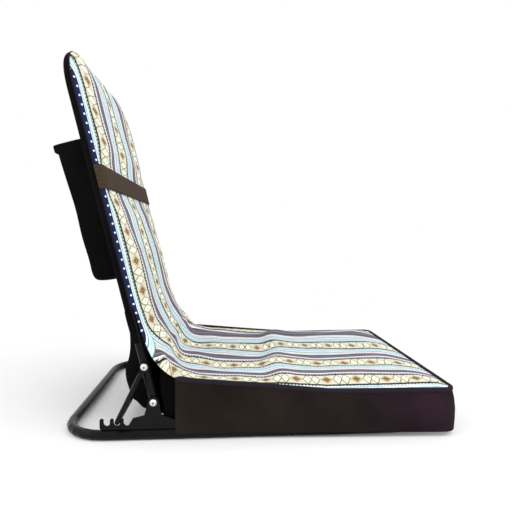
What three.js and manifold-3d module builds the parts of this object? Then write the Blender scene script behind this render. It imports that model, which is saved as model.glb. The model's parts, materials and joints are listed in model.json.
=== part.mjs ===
// Folding floor chair: a low chair without legs, with a striped cloth from the seat up the back.
// Millimetres, Z up, the sitter faces -Y. The origin is on the floor under the middle of the chair.
// A tube loop lies on the floor. The back turns on two rivets in stamped rack plates, and a stay rod
// that hangs from two more rivets drops its crossbar into one of three notches in the plates.

import * as THREE from 'three';
import { mergeVertices } from 'three/addons/utils/BufferGeometryUtils.js';
import Module from 'manifold-3d';

const wasm = await Module();
wasm.setup();

// Clearances shared by all pieces
const gap = 0.3;
const buttGap = 0.4;
const overrun = 5;

// Steel tube of the floor loop and of the back
const tubeRadius = 8;
const tubeWall = 1.2;
const crossbarRadius = 6;
const tubeSides = 14;
const boreSides = 8;
const bendSteps = 6;
const wrapSteps = 4;

// Floor loop
const loopSideInset = 6;
const loopRear = 142.7;
const loopFrontInset = 28;
const loopCorner = 65;
const frontBarSetback = 130;
const rearBarSetback = 70;

// Hinge line of the back
const hingeHeight = 58;
const pivotSpacing = 57.9;
const backLean = THREE.MathUtils.degToRad(13.5);

// Rack plates: three notches behind the hinge and an ear round the pivot
const plateThickness = 2.5;
const plateRear = 83;
const plateFront = 34;
const plateToe = 30;
const plateNeck = 12;
const plateCorner = 4;
const firstNotch = 72;
const notchPitch = 15.4;
const notchCount = 3;
const stayNotch = 1;
const notchWidth = 9.8;
const notchFloor = 22.4;
const toothTop = 34;
const toothLean = 4.4;
const brow = 14.4;
const browHeight = 37.8;
const earRadius = 9.5;
const earDip = THREE.MathUtils.degToRad(14.4);
const openNotchTurn = THREE.MathUtils.degToRad(135);
const arcSegments = 4;

// Rivets and washers
const shankRadius = 3;
const headRadius = 6;
const headHeight = 3.5;
const tailRadius = 4.5;
const tailThickness = 3;
const washerRadius = 8;
const washerThickness = 1;
const roundSides = 12;

// Stay rod
const rodRadius = 4;
const rodSides = 10;
const rodBend = 10;
const eyeRadius = 7.5;
const eyeThickness = 3;
const tabLength = 15;
const tabWidth = 8.4;
const rodStart = 8;
const forgeLength = 8;
const legTubeClearance = 0.45;
const legPlateClearance = 1.25;

// Back frame and crossbar
const backLegEnd = 22;
const backTop = 566;
const backCorner = 65;
const backBarHeight = 159.5;

// Cloth and piping
const clothThickness = 1.2;
const clothGap = 0.65;
const seatPipingRadius = 2.5;
const backPipingRadius = 1.2;
const pipingSides = 6;

// Seat cushion: a wedge that is high at the hinge, with a crown
const seatHalfWidth = 221;
const seatRear = 35;
const seatFront = 474;
const seatCorner = 18;
const seatRearHeight = 95.7;
const seatFrontHeight = 75.5;
const wedgeShare = 0.55;
const seatCrown = 17;
const crownRiseShare = 0.6;
const shoulderWidth = 45;
const seatSplit = 160;
const foamInset = 4;
const foamWaist = 1.5;

// Side band of the seat, which hangs over the floor loop as a skirt
const skirtRearHeight = 10;
const skirtFrontHeight = 4.3;
const bandBulgeSide = 4.3;
const bandBulgeFront = 7;
const bandStep = 48;

// Bend between the seat and the back
const bendRadius = 57;
const coverStart = 148.5;
const sleeveStart = 97;
const bulgeDepth = 41;
const gussetInset = 5.85;
const gussetFold = 30;
const gussetStart = 45;
const corePadInset = 12;
const sidePadInset = 3.15;
const sidePadHeel = 16;
const padBevel = 6;

// Back cushion
const backCrown = 6.5;
const backCrownRise = 80;
const seamOffset = 2.2;
const backFoamStart = 168;
const foamSlack = 2;

// Elastic strap across the front of the back
const strapBottom = 341;
const strapWidth = 38;
const strapThickness = 1.5;

// Pocket on the rear of the back
const pocketInset = 32.15;
const pocketBottom = 203;
const pocketMouth = 420;
const pocketDepth = 42;
const pocketWall = 1.5;
const pocketCorner = 30;
const pocketEdge = 12;
const pocketSag = 4;
const pocketYawn = 5;
const hemHeight = 13;
const hemFlare = 5;
const hemThickness = 2.2;

// Where the grids of the cloth pieces have their lines
const columnShares = [0, 0.008, 0.022, 0.045, 0.1, 0.2, 0.42, 0.7, 1];
const pocketColumnShares = [0, 0.012, 0.04, 0.09, 0.18, 0.5, 1];
const pocketRowShares = [0, 0.008, 0.03, 0.07, 0.14, 0.4, 0.7, 1];
const foamColumnShares = [0, 0.1, 0.3, 0.65, 1];
const hemRowShares = [0, 1];
const seatRowShares = [0, 0.009, 0.027, 0.055, 0.14, 0.3, 0.5, 0.7, 0.85, 1];
const backRowShares = [0.2, 0.5, 0.75, 0.88, 1];
const backColumnShares = [0.93, 0.86, 0.78, 0.5, 0];
const backFoamRowShares = [0, 0.03, 0.08, 0.16, 0.4, 0.7, 0.87, 1];
const nearRimShare = 0.3;
const cornerTurnShares = [5 / 6, 2 / 3, 1 / 2, 1 / 3, 1 / 6, 0];
const strapTurnShares = [-5 / 9, -5 / 18, 0, 5 / 18, 5 / 9, 5 / 6];
const domeShares = [1, 0.94, 0.7, 0.35];
const bandBulgeShares = [0.74, 0.96, 1, 0.72, 0.16];
const bulgeHeightShares = [1, 0.64, 0.48, 0.37, 0.25, 0.14, 0.04, -0.03, -0.12];
const bulgeDepthShares = [0.23, 0.49, 0.69, 0.92, 1, 0.99, 0.97, 0.77, 0.54];

// Sizes that follow from the ones above
const clothRadius = tubeRadius + clothGap + clothThickness;
const loopHalf = seatHalfWidth - loopSideInset;
const loopFront = seatFront + bandBulgeFront - loopFrontInset - tubeRadius;
const plateFoot = tubeRadius * 2 + gap;
const plateInner = loopHalf - plateThickness / 2;
const plateOuter = loopHalf + plateThickness / 2;
const backHalf = plateInner - gap - washerThickness - gap - tubeRadius;
const tailFace = backHalf - tubeRadius - gap;
const gussetHalfWidth = tailFace - gussetInset;
const corePadHalfWidth = gussetHalfWidth - corePadInset;
const sidePadHalfWidth = backHalf + tubeRadius - sidePadInset;
const pocketHalfWidth = backHalf - pocketInset;
const pocketTop = pocketMouth + hemHeight;
const rearReach = backPoint(0, pocketTop, pocketStandoff(0, pocketTop, 0, hemFlare)).y;
const hingeBehindMiddle = (seatFront + bandBulgeFront - rearReach) / 2;
const eyeX = backHalf + tubeRadius + gap + eyeThickness / 2;
const legTopX = backHalf + tubeRadius + legTubeClearance + rodRadius;
const legFootX = plateOuter + legPlateClearance + rodRadius;
const padFloor = plateFoot + clothThickness + gap;
const stayRest = new THREE.Vector2(firstNotch - stayNotch * notchPitch, notchFloor + gap + rodRadius);
const stayPivot = new THREE.Vector2(
  Math.sin(backLean) * pivotSpacing,
  hingeHeight + Math.cos(backLean) * pivotSpacing,
);
const stayLength = stayRest.distanceTo(stayPivot);
const stayAngle = Math.atan2(stayRest.x - stayPivot.x, stayPivot.y - stayRest.y);

// Materials, one for each kind of finish
function finish(color, roughness, metalness) {
  return new THREE.MeshStandardMaterial({ color, roughness, metalness });
}
const blackPaint = () => finish('#1d1c1f', 0.4, 0.3);
const zincSteel = () => finish('#8f8f93', 0.35, 0.9);
const stripedCloth = () => finish('#c9bfae', 0.95, 0);
const blackCloth = () => finish('#2b272c', 0.95, 0);
const foam = () => finish('#e6dcc0', 1, 0);
const webbing = () => finish('#6b5d50', 0.9, 0);

// Solids and cuts
function toManifold(geometry) {
  const bare = geometry.clone();
  bare.deleteAttribute('normal');
  bare.deleteAttribute('uv');
  const merged = mergeVertices(bare);
  const vertProperties = new Float32Array(merged.attributes.position.array);
  const triVerts = new Uint32Array(merged.index.array);
  return new wasm.Manifold(new wasm.Mesh({ numProp: 3, vertProperties, triVerts }));
}

function fromManifold(solid) {
  const mesh = solid.getMesh();
  const geometry = new THREE.BufferGeometry();
  geometry.setAttribute('position', new THREE.BufferAttribute(mesh.vertProperties, 3));
  geometry.setIndex(new THREE.BufferAttribute(mesh.triVerts, 1));
  geometry.computeVertexNormals();
  return geometry;
}

function cut(geometry, cutters) {
  const start = toManifold(geometry);
  const cleared = cutters.reduce((solid, cutter) => solid.subtract(toManifold(cutter)), start);
  return fromManifold(cleared);
}

function join(geometries) {
  const joined = geometries.map(toManifold).reduce((solid, next) => solid.add(next));
  return fromManifold(joined);
}

// A polygon of points on a circle, the first one on the +X side
function ring(radius, sides) {
  const step = (Math.PI * 2) / sides;
  return Array.from({ length: sides }, (_, k) => {
    return new THREE.Vector2(radius * Math.cos(k * step), radius * Math.sin(k * step));
  });
}

function roundSection(radius, sides) {
  return new THREE.Shape(ring(radius, sides));
}

function tubeSection(radius, wall) {
  const section = roundSection(radius, tubeSides);
  section.holes.push(new THREE.Path(ring(radius - wall, boreSides)));
  return section;
}

// A cylinder along X, centred on the origin
function barAlongX(radius, length, sides) {
  return new THREE.CylinderGeometry(radius, radius, length, sides).rotateZ(Math.PI / 2);
}

function barAlongY(radius, length, sides) {
  return new THREE.CylinderGeometry(radius, radius, length, sides);
}

// A path whose rings stand exactly on the given stops
class StopPath extends THREE.Curve {
  constructor(stops) {
    super();
    this.stops = stops;
  }

  getUtoTmapping(u) {
    return u;
  }

  getPoint(t) {
    return this.stops[Math.round(t * (this.stops.length - 1))].clone();
  }

  getTangent(t) {
    const here = Math.round(t * (this.stops.length - 1));
    const at = this.stops[here];
    const before = this.stops[Math.max(here - 1, 0)].clone().sub(at).negate().normalize();
    const after = this.stops[Math.min(here + 1, this.stops.length - 1)].clone().sub(at).normalize();
    return before.add(after).normalize();
  }
}

function sweep(section, stops) {
  const path = new StopPath(stops);
  return new THREE.ExtrudeGeometry(section, { steps: stops.length - 1, extrudePath: path });
}

// The corners of a run, with each inner one replaced by an arc
function roundRun(corners, radius, steps) {
  const stops = [corners[0]];
  for (let k = 1; k + 1 < corners.length; k++) {
    const into = corners[k].clone().sub(corners[k - 1]).normalize();
    const out = corners[k + 1].clone().sub(corners[k]).normalize();
    const turn = into.angleTo(out);
    const side = out.clone().addScaledVector(into, -out.dot(into)).normalize();
    const start = corners[k].clone().addScaledVector(into, -radius * Math.tan(turn / 2));
    for (let step = 0; step <= steps; step++) {
      const angle = (turn * step) / steps;
      const stop = start.clone().addScaledVector(into, radius * Math.sin(angle));
      stops.push(stop.addScaledVector(side, radius * (1 - Math.cos(angle))));
    }
  }
  stops.push(corners[corners.length - 1]);
  return stops;
}

// More stops on the straight runs, so that no step is longer than the limit
function withSteps(stops, limit) {
  const run = [stops[0]];
  for (let k = 1; k < stops.length; k++) {
    const pieces = Math.ceil(stops[k].distanceTo(stops[k - 1]) / limit);
    for (let piece = 1; piece <= pieces; piece++) {
      run.push(stops[k - 1].clone().lerp(stops[k], piece / pieces));
    }
  }
  return run;
}

// The closed solid between two grids of points with the same rows and columns
function solidBetween(front, back) {
  const rows = front.length;
  const columns = front[0].length;
  const positions = [front, back].flat(2).flatMap((point) => [point.x, point.y, point.z]);
  const at = (side, i, j) => (side * rows + i) * columns + j;
  const faces = [];
  const quad = (a, b, c, d) => faces.push(a, b, c, a, c, d);
  for (let i = 0; i + 1 < rows; i++) {
    for (let j = 0; j + 1 < columns; j++) {
      quad(at(0, i, j), at(0, i, j + 1), at(0, i + 1, j + 1), at(0, i + 1, j));
      quad(at(1, i, j), at(1, i + 1, j), at(1, i + 1, j + 1), at(1, i, j + 1));
    }
    const last = columns - 1;
    quad(at(0, i, 0), at(0, i + 1, 0), at(1, i + 1, 0), at(1, i, 0));
    quad(at(0, i + 1, last), at(0, i, last), at(1, i, last), at(1, i + 1, last));
  }
  for (let j = 0; j + 1 < columns; j++) {
    const last = rows - 1;
    quad(at(0, 0, j + 1), at(0, 0, j), at(1, 0, j), at(1, 0, j + 1));
    quad(at(0, last, j), at(0, last, j + 1), at(1, last, j + 1), at(1, last, j));
  }
  const geometry = new THREE.BufferGeometry();
  geometry.setAttribute('position', new THREE.Float32BufferAttribute(positions, 3));
  geometry.setIndex(enclosed(positions, faces) < 0 ? faces.reverse() : faces);
  geometry.computeVertexNormals();
  return geometry;
}

// Six times the volume that the faces enclose, negative when they face in
function enclosed(positions, faces) {
  const corner = (k) => new THREE.Vector3().fromArray(positions, faces[k] * 3);
  let sum = 0;
  for (let k = 0; k < faces.length; k += 3) {
    sum += corner(k).dot(corner(k + 1).cross(corner(k + 2)));
  }
  return sum;
}

// The grid moved along its own normals
function offsetGrid(grid, distance) {
  const lastRow = grid.length - 1;
  const lastColumn = grid[0].length - 1;
  return grid.map((row, i) => row.map((point, j) => {
    const along = grid[Math.min(i + 1, lastRow)][j].clone().sub(grid[Math.max(i - 1, 0)][j]);
    const across = row[Math.min(j + 1, lastColumn)].clone().sub(row[Math.max(j - 1, 0)]);
    return point.clone().addScaledVector(across.cross(along).normalize(), distance);
  }));
}

// Cloth: the outer surface and a second one behind it
function cloth(grid, depth) {
  return solidBetween(grid, offsetGrid(grid, depth));
}

// Places across a piece from one edge to the other, closer together at the edges
function acrossPlaces(halfWidth, shares) {
  const left = shares.map((share) => (share - 1) * halfWidth);
  const right = shares.slice(0, -1).map((share) => (1 - share) * halfWidth).reverse();
  return [...left, ...right];
}

// Half the width of a panel with two round corners, at a distance from its end
function halfWidthAt(fromEnd, halfWidth, corner) {
  const rise = corner - Math.min(fromEnd, corner);
  return halfWidth - corner + Math.sqrt(Math.max(corner * corner - rise * rise, 0));
}

// How far a point lies inside the outline of such a panel
function insetOf(x, fromEnd, halfWidth, corner) {
  const sideways = Math.abs(x) - (halfWidth - corner);
  const endways = corner - fromEnd;
  if (sideways > 0 && endways > 0) {
    return corner - Math.hypot(sideways, endways);
  }
  return Math.min(halfWidth - Math.abs(x), fromEnd);
}

// Soft shoulder: none at the seam, full beyond the shoulder's width
function shoulder(inset, width) {
  const rest = 1 - Math.min(Math.max(inset / width, 0), 1);
  return 1 - rest * rest;
}

const groups = {
  base: new THREE.Group(),
  back: new THREE.Group(),
  stay: new THREE.Group(),
};

function place(group, name, geometry, material) {
  const mesh = new THREE.Mesh(geometry, material);
  mesh.name = name;
  group.add(mesh);
  return mesh;
}

const sides = [['left', 1], ['right', -1]];

// Floor loop: one bent tube whose ends meet in the middle of the front bar
function floorLoop() {
  const corners = [
    [buttGap / 2, -loopFront],
    [loopHalf, -loopFront],
    [loopHalf, loopRear],
    [-loopHalf, loopRear],
    [-loopHalf, -loopFront],
    [-buttGap / 2, -loopFront],
  ].map(([x, y]) => new THREE.Vector3(x, y, tubeRadius));
  return sweep(tubeSection(tubeRadius, tubeWall), roundRun(corners, loopCorner, bendSteps));
}

// A crossbar between two parallel tubes, with its ends coped to fit round them
function copedBar(halfSpan, upright) {
  const section = tubeSection(crossbarRadius, tubeWall);
  const bar = new THREE.ExtrudeGeometry(section, { depth: halfSpan * 2, bevelEnabled: false });
  bar.translate(0, 0, -halfSpan).rotateY(Math.PI / 2);
  const cutters = sides.map(([, side]) => {
    const cope = barAlongY(tubeRadius + gap, crossbarRadius * 3, tubeSides * 2);
    if (upright) {
      cope.rotateX(Math.PI / 2);
    }
    return cope.translate(side * halfSpan, 0, 0);
  });
  return cut(bar, cutters);
}

// Rack plate: foot on the tube, notches open at the top, ear round the pivot
function rackPlate() {
  const half = notchWidth / 2;
  const shape = new THREE.Shape();
  shape.moveTo(-plateFront, plateFoot);
  shape.lineTo(plateRear - plateCorner, plateFoot);
  shape.absarc(plateRear - plateCorner, plateFoot + plateCorner, plateCorner, -Math.PI / 2, 0, false);
  for (let k = 0; k < notchCount; k++) {
    const middle = firstNotch - k * notchPitch;
    const toothRear = k === 0 ? plateRear : middle + notchPitch - half;
    const tipRadius = (toothRear - middle - half) / 2;
    shape.absarc(middle + half + tipRadius, toothTop - tipRadius, tipRadius, 0, Math.PI, false);
    if (k + 1 < notchCount) {
      shape.absarc(middle, notchFloor + half, half, 0, -Math.PI, true);
    } else {
      shape.absarc(middle, notchFloor + half, half, 0, -openNotchTurn, true);
    }
  }
  shape.lineTo(firstNotch - (notchCount - 1) * notchPitch - half - toothLean, toothTop);
  shape.lineTo(brow, browHeight);
  shape.absarc(0, hingeHeight, earRadius, -earDip, Math.PI, false);
  shape.lineTo(-plateNeck, hingeHeight - earRadius * 2);
  shape.lineTo(-plateFront, plateToe);
  const hole = new THREE.Path(ring(shankRadius + gap, roundSides));
  hole.curves.forEach((edge) => {
    edge.v1.y += hingeHeight;
    edge.v2.y += hingeHeight;
  });
  shape.holes.push(hole);
  const options = { depth: plateThickness, bevelEnabled: false, curveSegments: arcSegments };
  const plate = new THREE.ExtrudeGeometry(shape, options);
  plate.translate(0, 0, -plateThickness / 2);
  // Shape x becomes Y, shape y becomes Z and the thickness lies along X
  return plate.rotateX(Math.PI / 2).rotateZ(Math.PI / 2);
}

// Dome rivet along X: head outside at x = 0, shank and upset tail inwards
function rivet(grip, side) {
  const dome = domeShares.map((share) => {
    return new THREE.Vector2(headRadius * share, headHeight * Math.sqrt(1 - share * share));
  });
  const profile = [
    new THREE.Vector2(0, -grip - tailThickness),
    new THREE.Vector2(tailRadius, -grip - tailThickness),
    new THREE.Vector2(tailRadius, -grip),
    new THREE.Vector2(shankRadius, -grip),
    new THREE.Vector2(shankRadius, 0),
    ...dome,
    new THREE.Vector2(0, headHeight),
  ];
  return new THREE.LatheGeometry(profile, roundSides).rotateZ((-side * Math.PI) / 2);
}

function washer(side) {
  const profile = [
    new THREE.Vector2(shankRadius + gap, 0),
    new THREE.Vector2(washerRadius, 0),
    new THREE.Vector2(washerRadius, washerThickness),
    new THREE.Vector2(shankRadius + gap, washerThickness),
    new THREE.Vector2(shankRadius + gap, 0),
  ];
  return new THREE.LatheGeometry(profile, roundSides).rotateZ((-side * Math.PI) / 2);
}

// Height of the seat's top seam at a distance in front of the hinge
function seamHeight(reach) {
  const share = (reach - seatRear) / (seatFront - seatRear);
  const rise = Math.max(1 - share / wedgeShare, 0);
  return seatFrontHeight + (seatRearHeight - seatFrontHeight) * rise;
}

function seatCrownAt(reach) {
  const share = Math.max((reach - seatRear) / (seatFront - seatRear), 0);
  return seatCrown * Math.sin((Math.min(share / crownRiseShare, 1) * Math.PI) / 2);
}

function seatTop(x, reach) {
  const inset = insetOf(x, seatFront - reach, seatHalfWidth, seatCorner);
  return seamHeight(reach) + seatCrownAt(reach) * shoulder(inset, shoulderWidth);
}

// Grid over the seat from its front edge back to the bend
function seatGrid(margin, shares) {
  return seatRowShares.map((rowShare) => {
    const fromEnd = margin + (seatFront - seatSplit - gap - margin) * rowShare;
    const half = halfWidthAt(fromEnd - margin, seatHalfWidth - margin, seatCorner - margin);
    const reach = seatFront - fromEnd;
    return acrossPlaces(half, shares).map((x) => new THREE.Vector3(x, -reach, seatTop(x, reach)));
  });
}

// The seam line round the seat from its right rear end over the front to the left one
function seatOutline() {
  const corners = [
    [-seatHalfWidth, -seatRear],
    [-seatHalfWidth, -seatFront],
    [seatHalfWidth, -seatFront],
    [seatHalfWidth, -seatRear],
  ].map(([x, y]) => new THREE.Vector3(x, y, 0));
  return withSteps(roundRun(corners, seatCorner, bendSteps), bandStep);
}

function seatPiping() {
  const stops = seatOutline().map((stop) => stop.setZ(seamHeight(-stop.y)));
  return sweep(roundSection(seatPipingRadius, pipingSides), stops);
}

function seatBand() {
  const outline = seatOutline();
  const lastStop = outline.length - 1;
  const rows = bandBulgeShares.map((share, level) => outline.map((stop, k) => {
    const along = outline[Math.min(k + 1, lastStop)].clone().sub(outline[Math.max(k - 1, 0)]).normalize();
    const outward = new THREE.Vector3(along.y, -along.x, 0);
    const bulge = THREE.MathUtils.lerp(bandBulgeSide, bandBulgeFront, outward.y * outward.y);
    const reachShare = (-stop.y - seatRear) / (seatFront - seatRear);
    const skirt = THREE.MathUtils.lerp(skirtRearHeight, skirtFrontHeight, reachShare);
    const top = seamHeight(-stop.y) - seatPipingRadius - gap;
    const height = THREE.MathUtils.lerp(skirt, top, level / (bandBulgeShares.length - 1));
    return stop.clone().addScaledVector(outward, bulge * share).setZ(height);
  }));
  return cloth(rows, -clothThickness);
}

function seatUnderside() {
  const half = loopHalf + tubeRadius;
  const corners = [
    [-half, -gussetStart],
    [-half, -seatFront],
    [half, -seatFront],
    [half, -gussetStart],
  ].map(([x, y]) => new THREE.Vector3(x, y, 0));
  const outline = roundRun(corners, seatCorner, bendSteps).map((stop) => new THREE.Vector2(stop.x, stop.y));
  const options = { depth: clothThickness, bevelEnabled: false };
  return new THREE.ExtrudeGeometry(new THREE.Shape(outline), options).translate(0, 0, plateFoot);
}

function seatFoam() {
  const top = offsetGrid(seatGrid(foamInset, foamColumnShares), -clothThickness - gap);
  const floor = seatGrid(foamWaist, foamColumnShares).map((row) => row.map((point) => point.setZ(padFloor)));
  for (const grid of [top, floor]) {
    grid[grid.length - 1].forEach((point) => point.setY(-seatSplit - gap * 3));
  }
  return solidBetween(top, floor);
}

// Bend: the cloth runs from the seat line round to the line of the back
function backPoint(x, up, behind) {
  const sine = Math.sin(backLean);
  const cosine = Math.cos(backLean);
  return new THREE.Vector3(x, up * sine + behind * cosine, hingeHeight + up * cosine - behind * sine);
}

// The front line of the bend in the YZ plane, set in from the outer face of the cloth
function bendLine(inward) {
  const seatEnd = new THREE.Vector3(0, -seatSplit, seamHeight(seatSplit) - inward);
  const seatDrop = seatRearHeight - seamHeight(seatSplit);
  const seatSlope = new THREE.Vector3(0, seatSplit - seatRear, seatDrop).normalize();
  const backEnd = backPoint(0, coverStart - gap, -clothRadius + inward);
  const backSlope = new THREE.Vector3(0, -Math.sin(backLean), -Math.cos(backLean));
  const span = backEnd.clone().sub(seatEnd);
  const cross = seatSlope.y * backSlope.z - seatSlope.z * backSlope.y;
  const run = (span.y * backSlope.z - span.z * backSlope.y) / cross;
  const corner = seatEnd.clone().addScaledVector(seatSlope, run);
  return withSteps(roundRun([seatEnd, corner, backEnd], bendRadius + inward, bendSteps), bandStep);
}

function bendCover() {
  const line = bendLine(0);
  const sideOut = backHalf + tubeRadius - gap;
  const bendRim = clothRadius - tubeRadius + gap;
  const grid = line.map((stop, k) => {
    const up = line[Math.min(k + 1, line.length - 1)].clone().sub(line[Math.max(k - 1, 0)]).normalize();
    const normal = new THREE.Vector3(0, -up.z, up.y);
    const onSeat = THREE.MathUtils.clamp((-stop.y - seatRear) / (seatSplit - seatRear), 0, 1);
    const half = THREE.MathUtils.lerp(sideOut, seatHalfWidth - seatPipingRadius - gap, Math.sqrt(onSeat));
    return acrossPlaces(half, columnShares).map((x) => {
      const inset = half - Math.abs(x);
      const crown = onSeat > 0 ? seatCrownAt(-stop.y) * shoulder(inset, shoulderWidth) : 0;
      const drop = clothRadius - onTube(inset + bendRim, clothRadius);
      return stop.clone().setX(x).addScaledVector(normal, crown - (1 - onSeat) * drop);
    });
  });
  return cloth(grid, -clothThickness);
}

// Height of cloth wrapped on a tube, at a distance in from its outermost line
function onTube(inset, radius) {
  const rest = radius - Math.min(Math.max(inset, 0), radius);
  return Math.sqrt(radius * radius - rest * rest);
}

// Where the front cloth of the back ends beside the seam cord
function rimDepth() {
  return seamOffset + backPipingRadius + gap;
}

function seamDrop() {
  return clothRadius - rimDepth();
}

// The rear line of the bend, which sags behind the hinge, from the seat up to the back
function sagLine(inward) {
  const knots = bulgeHeightShares.map((share, k) => {
    return backPoint(0, coverStart * share - gap, bulgeDepth * bulgeDepthShares[k]);
  });
  knots.push(new THREE.Vector3(0, -gussetStart + clothThickness * 2, plateFoot));
  const curve = new THREE.CatmullRomCurve3(knots.reverse());
  const line = curve.getPoints(knots.length + bendSteps);
  return line.map((stop, k) => {
    const up = line[Math.min(k + 1, line.length - 1)].clone().sub(line[Math.max(k - 1, 0)]).normalize();
    return stop.clone().add(new THREE.Vector3(0, -up.z, up.y).multiplyScalar(inward));
  });
}

function bendGusset() {
  const line = sagLine(0);
  const grid = line.map((stop, k) => {
    const up = line[Math.min(k + 1, line.length - 1)].clone().sub(line[Math.max(k - 1, 0)]).normalize();
    const inwards = new THREE.Vector3(0, -up.z, up.y);
    const sag = Math.sin((Math.PI * k) / (line.length - 1));
    return acrossPlaces(gussetHalfWidth, columnShares).map((x) => {
      const edge = Math.max(1 - (gussetHalfWidth - Math.abs(x)) / clothRadius, 0);
      return stop.clone().setX(x).addScaledVector(inwards, gussetFold * sag * edge * edge);
    });
  });
  return cloth(grid, clothThickness);
}

// A block with the outline given in the YZ plane and soft ends
function softBlock(outline, from, to, bevel) {
  const shape = new THREE.Shape(outline.map((stop) => new THREE.Vector2(stop.y, stop.z)));
  const block = new THREE.ExtrudeGeometry(shape, {
    depth: to - from - bevel * 2,
    bevelEnabled: bevel > 0,
    bevelThickness: bevel,
    bevelSize: bevel,
    bevelOffset: -bevel,
    bevelSegments: 1,
  });
  return block.rotateX(Math.PI / 2).rotateZ(Math.PI / 2).translate(from + bevel, 0, 0);
}

function bendCore() {
  const inward = clothThickness + gap;
  const rear = sagLine(inward + clothThickness).filter((stop) => stop.z > padFloor + clothThickness);
  const foot = new THREE.Vector3(0, -seatSplit, padFloor);
  const heel = new THREE.Vector3(0, -gussetStart - padBevel, padFloor);
  const front = bendLine(inward + gap);
  return softBlock([foot, heel, ...rear, ...front.reverse()], -corePadHalfWidth, corePadHalfWidth, padBevel);
}

// The part of the corner pad in front of a back tube
function bendSide(side) {
  const front = bendLine(clothThickness + gap + seamDrop());
  const clear = -tubeRadius - gap * 2;
  const sine = Math.sin(backLean);
  const cosine = Math.cos(backLean);
  const kept = front.filter((stop) => {
    return stop.y * cosine - (stop.z - hingeHeight) * sine < clear - clothThickness;
  });
  const heel = new THREE.Vector3(0, -sidePadHeel, padFloor);
  const waist = backPoint(0, -backLegEnd, clear);
  const top = kept[kept.length - 1];
  const up = top.y * sine + (top.z - hingeHeight) * cosine;
  const foot = new THREE.Vector3(0, -seatSplit, padFloor);
  const rear = [foot, heel, waist, backPoint(0, up - clothThickness, clear)];
  const from = gussetHalfWidth + gap * 2;
  const ends = side > 0 ? [from, sidePadHalfWidth] : [-sidePadHalfWidth, -from];
  return softBlock([...rear, ...kept.reverse()], ...ends, 0);
}

// Back frame: an inverted U of tube, drilled for the two pairs of rivets
function backFrame() {
  const corners = [
    [-backHalf, -backLegEnd],
    [-backHalf, backTop],
    [backHalf, backTop],
    [backHalf, -backLegEnd],
  ].map(([x, z]) => new THREE.Vector3(x, 0, z));
  const tube = sweep(tubeSection(tubeRadius, tubeWall), roundRun(corners, backCorner, bendSteps));
  const drill = () => barAlongX(shankRadius + gap, (backHalf + tubeRadius + overrun) * 2, roundSides);
  return cut(tube, [drill(), drill().translate(0, 0, pivotSpacing)]);
}

// How far cloth on a tube of this radius stands off the plane of the back frame
function backStandoff(x, up, crown, radius) {
  const inset = insetOf(x, backTop + radius - up, backHalf + radius, backCorner + radius);
  if (inset < radius) {
    return onTube(inset, radius);
  }
  const rise = Math.min(Math.max((up - coverStart) / backCrownRise, 0), 1);
  return radius + crown * rise * shoulder(inset - radius, shoulderWidth);
}

// Distances of the rows from the top edge: round the top bar, down the corner and on down
function backRows(margin, corner, length) {
  const turns = cornerTurnShares.map((share) => corner * (1 - Math.sin((share * Math.PI) / 2)));
  const near = THREE.MathUtils.lerp(margin, turns[0], nearRimShare);
  const between = (turns[0] + turns[1]) / 2;
  const rest = backRowShares.map((share) => corner + (length - corner) * share);
  return [margin, near, turns[0], between, ...turns.slice(1), ...rest].reverse();
}

// Places of the columns: round the tube at each side and across the panel between them
function backColumns(width, margin, radius) {
  const from = Math.acos(1 - margin / radius);
  const wrapped = Array.from({ length: wrapSteps + 1 }, (_, k) => {
    const angle = THREE.MathUtils.lerp(from, Math.PI / 2, k / wrapSteps);
    return radius * (1 - Math.cos(angle)) - margin;
  });
  const open = width - radius + margin;
  const left = [...wrapped.map((inset) => inset - width), ...backColumnShares.map((share) => -open * share)];
  return [...left, ...left.slice(0, -1).reverse().map((x) => -x)];
}

// Grid over the back from its lower edge up, on the front (face -1) or the rear (face 1)
function backGrid(face, rim, crown, radius) {
  const margin = radius - Math.sqrt(radius * radius - rim * rim);
  const top = backTop + radius;
  const corner = backCorner + radius;
  return backRows(margin, corner, top - coverStart).map((fromEnd) => {
    const width = halfWidthAt(fromEnd - margin, backHalf + radius - margin, corner - margin);
    const up = top - fromEnd;
    return backColumns(width, margin, radius).map((x) => {
      return new THREE.Vector3(x, face * Math.max(backStandoff(x, up, crown, radius), rim), up);
    });
  });
}

function backCloth(face, rim, crown) {
  const inner = tubeRadius + clothGap;
  return solidBetween(backGrid(face, rim, crown, clothRadius), backGrid(face, rim, crown, inner));
}

function backFoam() {
  const half = backHalf - tubeRadius - gap;
  const corner = backCorner - tubeRadius - gap;
  const top = backTop - tubeRadius - gap;
  const grid = (face, crown) => [...backFoamRowShares].reverse().map((share) => {
    const fromEnd = (top - backFoamStart) * share;
    const width = halfWidthAt(fromEnd, half, corner);
    const up = top - fromEnd;
    return acrossPlaces(width, foamColumnShares).map((x) => {
      const standoff = backStandoff(x, up, crown, tubeRadius + clothGap) - gap;
      return new THREE.Vector3(x, face * standoff, up);
    });
  });
  return solidBetween(grid(-1, backCrown - foamSlack), grid(1, 0));
}

function backPiping() {
  const reach = tubeRadius + gap + backPipingRadius;
  const outward = Math.sqrt(reach * reach - seamOffset * seamOffset);
  const half = backHalf + outward;
  const corners = [
    [-half, coverStart],
    [-half, backTop + outward],
    [half, backTop + outward],
    [half, coverStart],
  ].map(([x, z]) => new THREE.Vector3(x, -seamOffset, z));
  const run = roundRun(corners, backCorner + outward, bendSteps * 2);
  return sweep(roundSection(backPipingRadius, pipingSides), run);
}

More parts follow.
